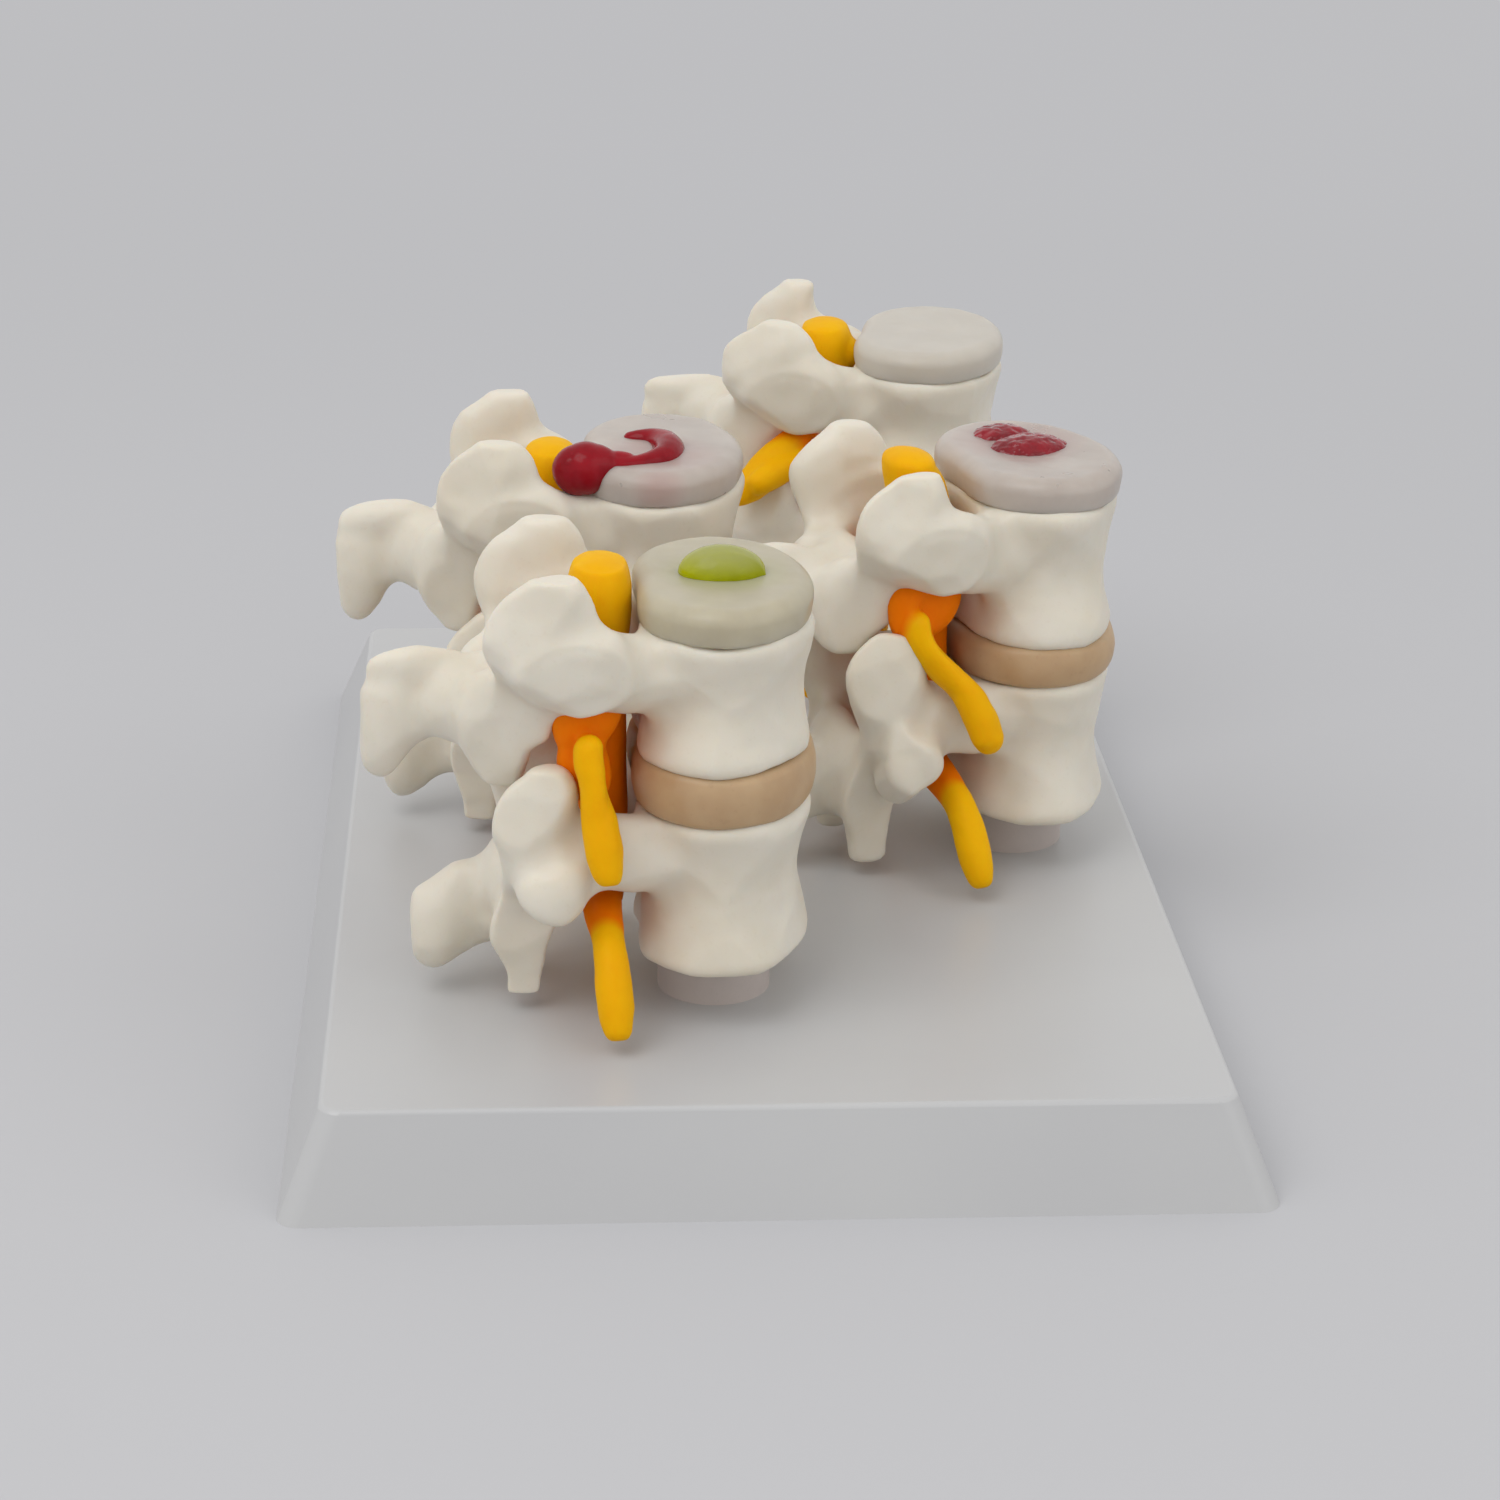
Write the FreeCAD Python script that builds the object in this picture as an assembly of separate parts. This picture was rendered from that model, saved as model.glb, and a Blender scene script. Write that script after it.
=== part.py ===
"""Anatomical model of the lumbar spine: four life-size motion segments on one tray.

Each segment is two vertebrae with a disc between them, a disc on top, a nucleus in the
top disc where it has one, and a nerve cord with four roots in its canal. A post and a screw
hold each segment on the tray. Millimetres, +Z up, origin at the middle of the tray's foot.
"""
import FreeCAD, Part
import math
import os
from dataclasses import dataclass

V = FreeCAD.Vector
FRONT = V(1, 0, 0)
SIDE = V(0, 1, 0)
UP = V(0, 0, 1)

# Tray: a thin moulded frustum, open underneath.
TRAY_WIDTH = 180.0
TRAY_LENGTH = 270.0
TRAY_HEIGHT = 19.0
TRAY_SLOPE_INSET = 7.7
TRAY_WALL = 2.5
TRAY_CORNER_RADIUS = 4.0
TRAY_EDGE_RADIUS = 1.2
BOSS_ROOT = 0.5
BOSS_RADIUS = 7.0
BOSS_DEPTH = 8.0

# Post and screw under each segment.
POST_RADIUS = 10.7
POST_HEIGHT = 11.0
POST_CHAMFER = 0.5
SCREW_RADIUS = 2.0
SCREW_HOLE_CLEARANCE = 0.25
SCREW_GRIP = 16.0
SCREW_HEAD_RADIUS = 4.0
SCREW_HEAD_HEIGHT = 2.6
SCREW_HEAD_ROUNDING = 0.9
SCREW_SLOT_LENGTH = 8.8
SCREW_SLOT_WIDTH = 1.2
SCREW_SLOT_DEPTH = 1.0
PILOT_CLEARANCE = 0.05
PILOT_END_GAP = 1.0

# Heights of the stack.
LOWER_BODY_HEIGHT = 30.0
MIDDLE_DISC_HEIGHT = 9.6
UPPER_BODY_HEIGHT = 25.4
TOP_DISC_HEIGHT = 6.5

# Vertebral body seen from above, and how its wall flares to the two rims.
BODY_DEPTH = 35.0
BODY_WIDTH = 47.0
BACK_HOLLOW = 2.6
BACK_HOLLOW_SPREAD = 9.0
WAIST_SCALE = 0.875
FLARE_SCALE = 0.955
LIP_SCALE = 0.955
RIM_HEIGHT = 1.3
FLARE_HEIGHT = 5.5

# Discs: how far they stand out past the rims.
MIDDLE_DISC_BULGE = 1.07
DISC_FACE_SCALE = 0.975

# Neural arch, alike on both vertebrae. u is to the front, v to the side, w up.
PEDICLE_SPACING = 15.5
PEDICLE_THICKNESS = 9.0
PEDICLE_HEIGHT = 15.4
PEDICLE_DROP = 7.3
PEDICLE_ROOT_SINK = 0.4
PEDICLE_ROOT_IN = 5.0
PEDICLE_ROOT_OUT = 3.0
PEDICLE_END = 8.0
PEDICLE_END_DROP = 1.0
ARCH_DEPTH = 34.5
LAMINA_THICKNESS = 8.5
LAMINA_HEIGHT = 17.0
LAMINA_LEVEL = 0.42
LAMINA_SPAN = 0.78
LAMINA_SHARES = (-1.0, -0.5, 0.0, 0.5, 1.0)
SPINE_ROOT = 3.0
UPPER_FACET_SPACING = 18.5
UPPER_FACET_THICKNESS = 9.2
UPPER_FACET_FOOT = 9.0
UPPER_FACET_BELLY = 0.5
UPPER_FACET_NECK = 3.6
UPPER_FACET_CROWN = 1.2
UPPER_FACET_LEANS = (0.9, 1.0, 2.6, 3.6)
LOWER_FACET_SPACING = 9.8
LOWER_FACET_THICKNESS = 7.4
LOWER_FACET_HEEL = 1.0
LOWER_FACET_STEP = 0.2
PILLAR_WAIST_SETBACK = 1.4
WING_ROOT_IN = 2.5
WING_END = 1.8
WING_HALF_HEIGHTS = (8.0, 7.2, 5.4)
WING_DEPTH_SCALES = (1.3, 1.16, 0.95)

# Spinous process, from its root to its tip: share of its length, drop of its top,
# rise of its foot, and share of its thickness.
SPINE_STATIONS = (
    (0.0, 0.0, 5.0, 1.1),
    (0.35, 0.0, 5.5, 0.8),
    (0.7, 0.6, 2.0, 0.92),
    (0.93, 3.5, 0.2, 1.0),
)

# Nerve cord and its roots.
CORD_DEPTH = 11.0
CORD_WIDTH = 16.0
CORD_FOOT_RISE = 7.0
CORD_CLEARANCE = 0.3
CORD_LEAN_POWER = 8
ROOT_TIP_RADIUS = 3.1
LOWER_ROOT_RADIUS = 3.8
UPPER_ROOT_SPREAD = 27.0
LOWER_ROOT_SPREAD = 30.0
LOWER_ROOT_DROP = 16.4
ROOT_FORWARD = 1.6
ROOT_START = 4.0
ROOT_START_RISE = 1.0
ROOT_KNEE = 12.5
ROOT_KNEE_DROP = 1.6
ROOT_BEND = 6.0
ROOT_BEND_LEAN = 0.55
ROOT_BEND_DROP = 0.42
CORD_GIRTHS = ((0.0, 0.85), (0.25, 1.0), (0.5, 0.94), (0.75, 1.0), (0.985, 0.98), (1.0, 0.9))

# Nuclei of the top discs.
NUCLEUS_CLEARANCE = 0.1
DOME_HALF_DEPTH = 7.8
DOME_HALF_WIDTH = 9.5
DOME_RISE = 4.6
DOME_FACE = -2.5
DOME_SOLE = 1.0
DOME_SHOULDER = 1.0
DOME_CENTRE = 1.0
DOME_SHARES = (0.25, 0.5, 0.72, 0.9, 0.985)
FAR_LOBE_CENTRE = (0.5, 13.0, -1.0)
FAR_LOBE_HALF_SIZE = (7.0, 5.4, 3.2)
NEAR_LOBE_CENTRE = (2.5, 3.5, -0.8)
NEAR_LOBE_HALF_SIZE = (8.6, 6.0, 3.4)
BALL_RADIUS = 5.4
BALL_SEAM_TURN = 200.0
BALL_CENTRE = (-14.0, -14.6, -1.2)
TRAIL_SINK = 0.6
TRAIL_RADII = (2.6, 2.1, 2.2, 3.0, 3.3, 2.7, 1.8)
TRAIL_ROUTE = (
    (-12.0, -14.8),
    (-7.0, -15.0),
    (-2.0, -13.2),
    (1.8, -8.6),
    (2.2, -2.6),
    (-0.6, 2.6),
    (-5.2, 3.6),
)

# Rounded end of a limb or a tube: how far past the last section each closing outline lies,
# as a share of that section's size, and what shares of its two half sizes it keeps.
LIMB_SHOULDER = (1.0, 0.84, 0.88)
LIMB_CROWN = (1.65, 0.5, 0.62)
LIMB_BLUNTNESS = 0.55
WING_BLUNTNESS = 0.35
SPINE_BLUNTNESS = 0.4
FACET_BLUNTNESS = 0.3
TUBE_SHOULDER = (0.6, 0.8)
TUBE_CROWN = (0.92, 0.45)

# How finely curves are laid out, and how close two heights must be to count as one.
OVAL_POINTS = 10
OUTLINE_POINTS = 20
LOFT_DEGREE = 3
SAME_HEIGHT = 0.01


@dataclass(frozen=True)
class Segment:
    """Place and turn of one motion segment, and the state of its disc and cord."""

    name: str
    x: float
    y: float
    turn: float
    top_disc_swell: float
    cord_rise: float
    root_lean: float
    root_drop: float
    root_radius: float
    cord_lean: float
    nucleus: str


@dataclass(frozen=True)
class Bone:
    """Sizes that tell the upper vertebra from the lower one."""

    spine_reach: float
    spine_top: float
    spine_foot: float
    spine_thickness: float
    facet_rise: float
    facet_drop: float
    facet_setback: float
    facet_breadth: float
    facet_depth: float
    facet_shift: float
    wing_reach: float
    wing_rise: float
    wing_droop: float
    wing_setback: float
    wing_sweep: float
    wing_depth: float


SEGMENTS = (
    Segment("front", -0.054 * TRAY_WIDTH, -0.278 * TRAY_LENGTH, 2.0, 1.0, 9.0, 0.0, 22.5, 3.2, 0.0, "dome"),
    Segment(
        "right", 0.311 * TRAY_WIDTH, -0.014 * TRAY_LENGTH, 17.0, 1.06, 8.0, -2.4, 23.0, 3.3, -4.0, "lobes"
    ),
    Segment("left", -0.100 * TRAY_WIDTH, 0.026 * TRAY_LENGTH, -3.0, 1.0, 5.5, 0.0, 22.5, 3.4, 0.0, "hernia"),
    Segment("rear", 0.256 * TRAY_WIDTH, 0.352 * TRAY_LENGTH, -12.0, 0.99, 6.5, -13.6, 4.4, 4.0, -1.5, "none"),
)
UPPER_BONE = Bone(
    spine_reach=64.8,
    spine_top=16.5,
    spine_foot=-7.3,
    spine_thickness=8.2,
    facet_rise=11.3,
    facet_drop=5.2,
    facet_setback=5.6,
    facet_breadth=8.4,
    facet_depth=21.0,
    facet_shift=0.0,
    wing_reach=25.5,
    wing_rise=1.4,
    wing_droop=-0.6,
    wing_setback=26.6,
    wing_sweep=0.4,
    wing_depth=17.0,
)
LOWER_BONE = Bone(
    spine_reach=54.8,
    spine_top=15.0,
    spine_foot=-6.8,
    spine_thickness=10.0,
    facet_rise=10.3,
    facet_drop=7.6,
    facet_setback=2.2,
    facet_breadth=10.0,
    facet_depth=15.8,
    facet_shift=-1.2,
    wing_reach=24.5,
    wing_rise=-0.2,
    wing_droop=5.2,
    wing_setback=28.0,
    wing_sweep=3.6,
    wing_depth=13.0,
)

LOWER_Z = TRAY_HEIGHT + POST_HEIGHT
MIDDLE_DISC_Z = LOWER_Z + LOWER_BODY_HEIGHT
UPPER_Z = MIDDLE_DISC_Z + MIDDLE_DISC_HEIGHT
TOP_DISC_Z = UPPER_Z + UPPER_BODY_HEIGHT
CANAL_FRONT = BODY_DEPTH / 2 - BACK_HOLLOW


def oval(centre, across, along, half_across, half_along):
    """Smooth closed outline round a centre, in the plane of two unit vectors."""
    points = []
    for step in range(OVAL_POINTS):
        angle = 2 * math.pi * step / OVAL_POINTS
        reach = across * (half_across * math.cos(angle)) + along * (half_along * math.sin(angle))
        points.append(centre + reach)
    curve = Part.BSplineCurve()
    curve.interpolate(Points=points, PeriodicFlag=True)
    return Part.Wire([curve.toShape()])


def loft(wires):
    """Smooth solid through closed outlines."""
    return Part.makeLoft(wires, True, False, False, LOFT_DEGREE)


def limb(sections, across, along, blunt=LIMB_BLUNTNESS):
    """Solid through ovals in parallel planes, rounded off past its last one.

    Each section is a centre, a half size across and a half size along.
    """
    centre, half_across, half_along = sections[-1]
    heading = across.cross(along)
    if heading.dot(centre - sections[-2][0]) < 0:
        heading = heading * -1
    reach = blunt * min(half_across, half_along)
    wires = [oval(place, across, along, a, b) for place, a, b in sections]
    for step, keep_across, keep_along in (LIMB_SHOULDER, LIMB_CROWN):
        end = centre + heading * (reach * step)
        wires.append(oval(end, across, along, half_across * keep_across, half_along * keep_along))
    return loft(wires)


def tube(points, radii):
    """Round solid along a row of points, blunt at its far end."""
    wires = []
    last = len(points) - 1
    for index, (point, radius) in enumerate(zip(points, radii)):
        heading = points[min(index + 1, last)] - points[max(index - 1, 0)]
        heading.normalize()
        across = heading.cross(FRONT)
        across.normalize()
        wires.append(oval(point, across, heading.cross(across), radius, radius))
    for step, keep in (TUBE_SHOULDER, TUBE_CROWN):
        end = points[last] + heading * (radii[last] * step)
        wires.append(oval(end, across, heading.cross(across), radii[last] * keep, radii[last] * keep))
    return loft(wires)


def body_outline(scale, height, swell=1.0):
    """Kidney outline of a vertebral body or a disc, hollow at the back."""
    points = []
    for step in range(OUTLINE_POINTS):
        angle = 2 * math.pi * step / OUTLINE_POINTS
        u = math.cos(angle) * BODY_DEPTH / 2
        v = math.sin(angle) * BODY_WIDTH / 2
        if u < 0:
            u += BACK_HOLLOW * math.exp(-((v / BACK_HOLLOW_SPREAD) ** 2))
        elif swell > 1:
            u *= swell
        points.append(V(u * scale, v * scale, height))
    curve = Part.BSplineCurve()
    curve.interpolate(Points=points, PeriodicFlag=True)
    return Part.Wire([curve.toShape()])


def body(height):
    """Vertebral body: waisted, with a lip round each rim."""
    levels = (
        (0.0, LIP_SCALE),
        (RIM_HEIGHT, 1.0),
        (FLARE_HEIGHT, FLARE_SCALE),
        (height / 2, WAIST_SCALE),
        (height - FLARE_HEIGHT, FLARE_SCALE),
        (height - RIM_HEIGHT, 1.0),
        (height, LIP_SCALE),
    )
    wires = [body_outline(scale, level) for level, scale in levels]
    return loft(wires)


def pedicle(height, hand):
    """Short beam from the body's back to the joint pillar."""
    level = height - PEDICLE_DROP
    half_thick = PEDICLE_THICKNESS / 2
    half_high = PEDICLE_HEIGHT / 2
    side = hand * PEDICLE_SPACING
    root = V(-CANAL_FRONT + PEDICLE_ROOT_IN, side * 0.9, level - PEDICLE_ROOT_SINK)
    sections = (
        (root, half_thick * 1.15, half_high * 0.95),
        (V(-CANAL_FRONT - PEDICLE_ROOT_OUT, side, level), half_thick, half_high),
        (V(-ARCH_DEPTH + PEDICLE_END, side * 1.05, level), half_thick, half_high),
        (V(-ARCH_DEPTH, side * 1.05, level - PEDICLE_END_DROP), half_thick * 0.9, half_high * 0.9),
    )
    return limb(sections, SIDE, UP)


def pillar(bone, height, hand):
    """Joint pillar: lower facet below, upper facet above, as one swept solid."""
    low = hand * LOWER_FACET_SPACING
    high = hand * UPPER_FACET_SPACING
    half_low = LOWER_FACET_THICKNESS / 2
    half_high = UPPER_FACET_THICKNESS / 2
    half_deep = bone.facet_depth / 2
    back = -ARCH_DEPTH
    tip = back - bone.facet_setback
    half_broad = bone.facet_breadth / 2
    foot, belly, neck, crown = (back + bone.facet_shift + lean for lean in UPPER_FACET_LEANS)
    peak = height + bone.facet_rise
    waist = V(back - PILLAR_WAIST_SETBACK, (low + high) * 0.46, height * 0.36)
    sections = (
        (V(tip, low, -bone.facet_drop), half_broad * 0.72, half_low * 0.9),
        (V(tip + LOWER_FACET_STEP, low * 1.05, LOWER_FACET_HEEL), half_broad, half_low * 1.05),
        (waist, half_broad * 1.15, half_low * 1.15),
        (V(foot, high * 0.88, height - UPPER_FACET_FOOT), half_deep * 0.76, half_high * 0.96),
        (V(belly, high * 0.98, height + UPPER_FACET_BELLY), half_deep, half_high),
        (V(neck, high, peak - UPPER_FACET_NECK), half_deep * 0.8, half_high * 0.86),
        (V(crown, high * 0.99, peak - UPPER_FACET_CROWN), half_deep * 0.54, half_high * 0.66),
    )
    return limb(sections, FRONT, SIDE, FACET_BLUNTNESS)


def lamina(height):
    """Roof of the canal, from one pillar over to the other."""
    level = height * LAMINA_LEVEL
    half_thick = LAMINA_THICKNESS / 2
    half_high = LAMINA_HEIGHT / 2
    sections = []
    for share in LAMINA_SHARES:
        side = share * UPPER_FACET_SPACING * LAMINA_SPAN
        depth = ARCH_DEPTH + half_thick * (1 - share**2) * 1.05
        tall = half_high * (1 - 0.22 * abs(share))
        wide = half_thick * (1.2 - 0.3 * abs(share))
        sections.append(oval(V(-depth, side, level), FRONT, UP, wide, tall))
    return loft(sections)


def spinous_process(bone):
    """Blade that runs back from the lamina and thickens to a blunt tip."""
    start = ARCH_DEPTH + SPINE_ROOT
    length = bone.spine_reach - start
    half_thick = bone.spine_thickness / 2
    sections = []
    for share, drop, rise, thick in SPINE_STATIONS:
        top = bone.spine_top - drop
        foot = bone.spine_foot + rise
        centre = V(-start - share * length, 0, (top + foot) / 2)
        sections.append((centre, half_thick * thick, (top - foot) / 2))
    return limb(sections, SIDE, UP, SPINE_BLUNTNESS)


def wing(bone, height, hand):
    """Transverse process, a broad buttress that narrows out to the side."""
    root = height - PEDICLE_DROP + bone.wing_rise
    half_deep = bone.wing_depth / 2
    start = PEDICLE_SPACING - WING_ROOT_IN
    length = bone.wing_reach - WING_END - start
    sections = []
    for index, (tall, deep) in enumerate(zip(WING_HALF_HEIGHTS, WING_DEPTH_SCALES)):
        share = index / (len(WING_HALF_HEIGHTS) - 1)
        side = hand * (start + share * length)
        centre = V(-bone.wing_setback - share * bone.wing_sweep, side, root - share * bone.wing_droop)
        sections.append((centre, half_deep * deep, tall))
    return limb(sections, FRONT, UP, WING_BLUNTNESS)


def vertebra(bone, height):
    """One vertebra on its own lower face, its body's middle at the origin."""
    pieces = [lamina(height), spinous_process(bone)]
    for hand in (-1, 1):
        pieces.append(pillar(bone, height, hand))
        pieces.append(pedicle(height, hand))
        pieces.append(wing(bone, height, hand))
    return body(height).fuse(pieces)


def pilot_hole():
    """Blind hole for the screw, from the lower face of the lower vertebra."""
    return Part.makeCylinder(SCREW_RADIUS + PILOT_CLEARANCE, SCREW_GRIP + PILOT_END_GAP)


def disc(height, bulge, swell=1.0):
    """Disc between two flat faces, standing out at half its height."""
    wires = [
        body_outline(DISC_FACE_SCALE, 0.0, swell),
        body_outline(bulge, height * 0.3, swell),
        body_outline(bulge, height * 0.7, swell),
        body_outline(DISC_FACE_SCALE, height, swell),
    ]
    return loft(wires)


def ellipsoid(centre, half_size, grow):
    """Ball stretched to three half sizes, its centre given from the disc's top."""
    ball = Part.makeSphere(1.0)
    stretch = FreeCAD.Matrix()
    stretch.scale(*(half + grow for half in half_size))
    shape = ball.transformGeometry(stretch)
    shape.translate(V(*centre) + UP * TOP_DISC_HEIGHT)
    return shape


def dome(grow):
    """Half dome with a flat front, standing on a straight plug in the disc."""
    shoulder = TOP_DISC_HEIGHT - DOME_SHOULDER
    rise = DOME_SHOULDER + DOME_RISE + grow
    levels = [(DOME_SOLE - grow, 1.0), (shoulder, 1.0)]
    for share in DOME_SHARES:
        levels.append((shoulder + share * rise, math.sqrt(1 - share**2)))
    wires = []
    for height, size in levels:
        half_u = (DOME_HALF_DEPTH + grow) * size
        reach = (DOME_HALF_WIDTH + grow) * size
        bow = []
        for step in range(OVAL_POINTS + 1):
            angle = math.pi * step / OVAL_POINTS
            side = DOME_FACE - grow + reach * math.sin(angle)
            bow.append(V(DOME_CENTRE + half_u * math.cos(angle), side, height))
        curve = Part.BSplineCurve()
        curve.interpolate(Points=bow)
        wires.append(Part.Wire([curve.toShape(), Part.makeLine(bow[-1], bow[0])]))
    return loft(wires)


def nucleus(kind, grow=0.0):
    """Nucleus of a top disc, placed on the disc's lower face; grow widens it all round."""
    if kind == "dome":
        return dome(grow)
    if kind == "lobes":
        far = ellipsoid(FAR_LOBE_CENTRE, FAR_LOBE_HALF_SIZE, grow)
        return ellipsoid(NEAR_LOBE_CENTRE, NEAR_LOBE_HALF_SIZE, grow).fuse([far])
    ball = Part.makeSphere(BALL_RADIUS + grow)
    ball.rotate(V(0, 0, 0), UP, BALL_SEAM_TURN)
    ball.translate(V(*BALL_CENTRE) + UP * TOP_DISC_HEIGHT)
    level = TOP_DISC_HEIGHT - TRAIL_SINK
    points = [V(u, v, level) for u, v in TRAIL_ROUTE]
    return ball.fuse([tube(points, [radius + grow for radius in TRAIL_RADII])])


def top_disc(kind, swell):
    """Top disc with the pocket that its nucleus sits in."""
    whole = disc(TOP_DISC_HEIGHT, 1.0, swell)
    if kind == "none":
        return whole
    return whole.cut(nucleus(kind, NUCLEUS_CLEARANCE))


def nerve_cord(segment):
    """Cord in the canal with a pair of roots under each pair of pedicles."""
    middle = -CANAL_FRONT * MIDDLE_DISC_BULGE - CORD_CLEARANCE - CORD_DEPTH / 2
    foot = LOWER_Z + CORD_FOOT_RISE
    head = TOP_DISC_Z + segment.cord_rise
    sections = []
    for share, size in CORD_GIRTHS:
        level = foot + share * (head - foot)
        centre = V(middle + segment.cord_lean * share**CORD_LEAN_POWER, 0, level)
        sections.append(oval(centre, FRONT, SIDE, size * CORD_DEPTH / 2, size * CORD_WIDTH / 2))
    cord = loft(sections)
    roots = []
    exits = (
        (TOP_DISC_Z, segment.root_drop, segment.root_lean, UPPER_ROOT_SPREAD, segment.root_radius),
        (MIDDLE_DISC_Z, LOWER_ROOT_DROP, 0.0, LOWER_ROOT_SPREAD, LOWER_ROOT_RADIUS),
    )
    for rim, drop, lean, spread, thick in exits:
        level = rim - PEDICLE_DROP - PEDICLE_HEIGHT / 2 - thick - CORD_CLEARANCE
        forward = lean + ROOT_FORWARD
        tip = ROOT_TIP_RADIUS
        bend = middle + ROOT_BEND_LEAN * forward
        for hand in (-1, 1):
            points = (
                V(middle, hand * ROOT_START, level + ROOT_START_RISE),
                V(middle, hand * ROOT_KNEE, level - ROOT_KNEE_DROP),
                V(bend, hand * (spread - ROOT_BEND), level - ROOT_BEND_DROP * drop),
                V(middle + forward, hand * spread, level - drop),
            )
            roots.append(tube(points, (thick, thick, (thick + tip) / 2, tip)))
    return cord.fuse(roots)


def tray_slab(inset, bottom, top, corner):
    """Solid frustum between two heights, its walls set in by an even amount."""
    wires = []
    for height in (bottom, top):
        shrink = inset + TRAY_SLOPE_INSET * height / TRAY_HEIGHT
        half_x = TRAY_WIDTH / 2 - shrink
        half_y = TRAY_LENGTH / 2 - shrink
        edges = []
        corners = ((1, 1, 0), (-1, 1, 90), (-1, -1, 180), (1, -1, 270))
        arcs = []
        for sign_x, sign_y, start in corners:
            centre = V(sign_x * (half_x - corner), sign_y * (half_y - corner), height)
            circle = Part.Circle(centre, UP, corner)
            arcs.append(Part.Arc(circle, math.radians(start), math.radians(start + 90)))
        for index, arc in enumerate(arcs):
            following = arcs[(index + 1) % len(arcs)]
            edges.append(arc.toShape())
            edges.append(Part.makeLine(arc.EndPoint, following.StartPoint))
        wires.append(Part.Wire(edges))
    return Part.makeLoft(wires, True, True)


def tray():
    """Hollow tray with a boss and a screw hole under each post."""
    outer = tray_slab(0.0, 0.0, TRAY_HEIGHT, TRAY_CORNER_RADIUS)
    rim = [edge for edge in outer.Edges if edge.BoundBox.ZMin > TRAY_HEIGHT - SAME_HEIGHT]
    outer = outer.makeFillet(TRAY_EDGE_RADIUS, rim)
    roof = TRAY_HEIGHT - TRAY_WALL
    shell = outer.cut(tray_slab(TRAY_WALL, -TRAY_WALL, roof, TRAY_CORNER_RADIUS - TRAY_WALL / 2))
    boss = Part.makeCylinder(BOSS_RADIUS, BOSS_DEPTH + BOSS_ROOT)
    bosses = [place(boss, segment, roof - BOSS_DEPTH) for segment in SEGMENTS]
    shell = shell.fuse(bosses)
    hole = Part.makeCylinder(SCREW_RADIUS + SCREW_HOLE_CLEARANCE, 2 * TRAY_HEIGHT)
    return shell.cut([place(hole, segment, 0) for segment in SEGMENTS])


def post():
    """Round spacer between the tray and the lower vertebra."""
    blank = Part.makeCylinder(POST_RADIUS, POST_HEIGHT)
    rims = [edge for edge in blank.Edges if len(edge.Vertexes) == 1]
    blank = blank.makeChamfer(POST_CHAMFER, rims[:1])
    return blank.cut(Part.makeCylinder(SCREW_RADIUS + SCREW_HOLE_CLEARANCE, POST_HEIGHT))


def screw():
    """Pan-head screw with its head's seat at the origin."""
    length = TRAY_WALL + BOSS_DEPTH + POST_HEIGHT + SCREW_GRIP
    head = Part.makeCylinder(SCREW_HEAD_RADIUS, SCREW_HEAD_HEIGHT, V(0, 0, -SCREW_HEAD_HEIGHT))
    crown = [edge for edge in head.Edges if edge.BoundBox.ZMax < -SCREW_HEAD_HEIGHT + SAME_HEIGHT]
    head = head.makeFillet(SCREW_HEAD_ROUNDING, crown)
    corner = V(-SCREW_SLOT_LENGTH / 2, -SCREW_SLOT_WIDTH / 2, -SCREW_HEAD_HEIGHT)
    slot = Part.makeBox(SCREW_SLOT_LENGTH, SCREW_SLOT_WIDTH, SCREW_SLOT_DEPTH, corner)
    shank = Part.makeCylinder(SCREW_RADIUS, length)
    return head.cut(slot).fuse(shank)


def place(shape, segment, height):
    """Copy of a shape, turned and moved to a segment at a height."""
    placed = shape.copy()
    placed.rotate(V(0, 0, 0), UP, segment.turn)
    placed.translate(V(segment.x, segment.y, height))
    return placed


def save(name, shape):
    """Write one node and print what it measures."""
    shape.exportStep(os.path.join("parts", name + ".step"))
    box = shape.BoundBox
    print(name, "valid" if shape.isValid() else "INVALID", len(shape.Solids), round(shape.Volume, 1),
          [round(c, 1) for c in (box.XMin, box.YMin, box.ZMin, box.XMax, box.YMax, box.ZMax)])


def build():
    """Make every node of the model."""
    os.makedirs("parts", exist_ok=True)
    save("tray", tray())
    lower = vertebra(LOWER_BONE, LOWER_BODY_HEIGHT).cut(pilot_hole())
    upper = vertebra(UPPER_BONE, UPPER_BODY_HEIGHT)
    middle_disc = disc(MIDDLE_DISC_HEIGHT, MIDDLE_DISC_BULGE)
    screws = []
    for segment in SEGMENTS:
        save("post_" + segment.name, place(post(), segment, TRAY_HEIGHT))
        save("lower_vertebra_" + segment.name, place(lower, segment, LOWER_Z))
        save("middle_disc_" + segment.name, place(middle_disc, segment, MIDDLE_DISC_Z))
        save("upper_vertebra_" + segment.name, place(upper, segment, UPPER_Z))
        clear_disc = top_disc(segment.nucleus, segment.top_disc_swell)
        save("top_disc_" + segment.name, place(clear_disc, segment, TOP_DISC_Z))
        save("nerve_cord_" + segment.name, place(nerve_cord(segment), segment, 0))
        if segment.nucleus != "none":
            save("nucleus_" + segment.name, place(nucleus(segment.nucleus), segment, TOP_DISC_Z))
        screws.append(place(screw(), segment, TRAY_HEIGHT - TRAY_WALL - BOSS_DEPTH))
    save("screws", Part.makeCompound(screws))


build()
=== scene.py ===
"""Looks of a spine anatomy model: four lumbar segments with discs, nuclei and nerve cords on one tray."""

import logging
import math
from dataclasses import dataclass, field, replace
from enum import Enum

import bpy
import numpy as np
from mathutils import Matrix, Vector


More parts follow.
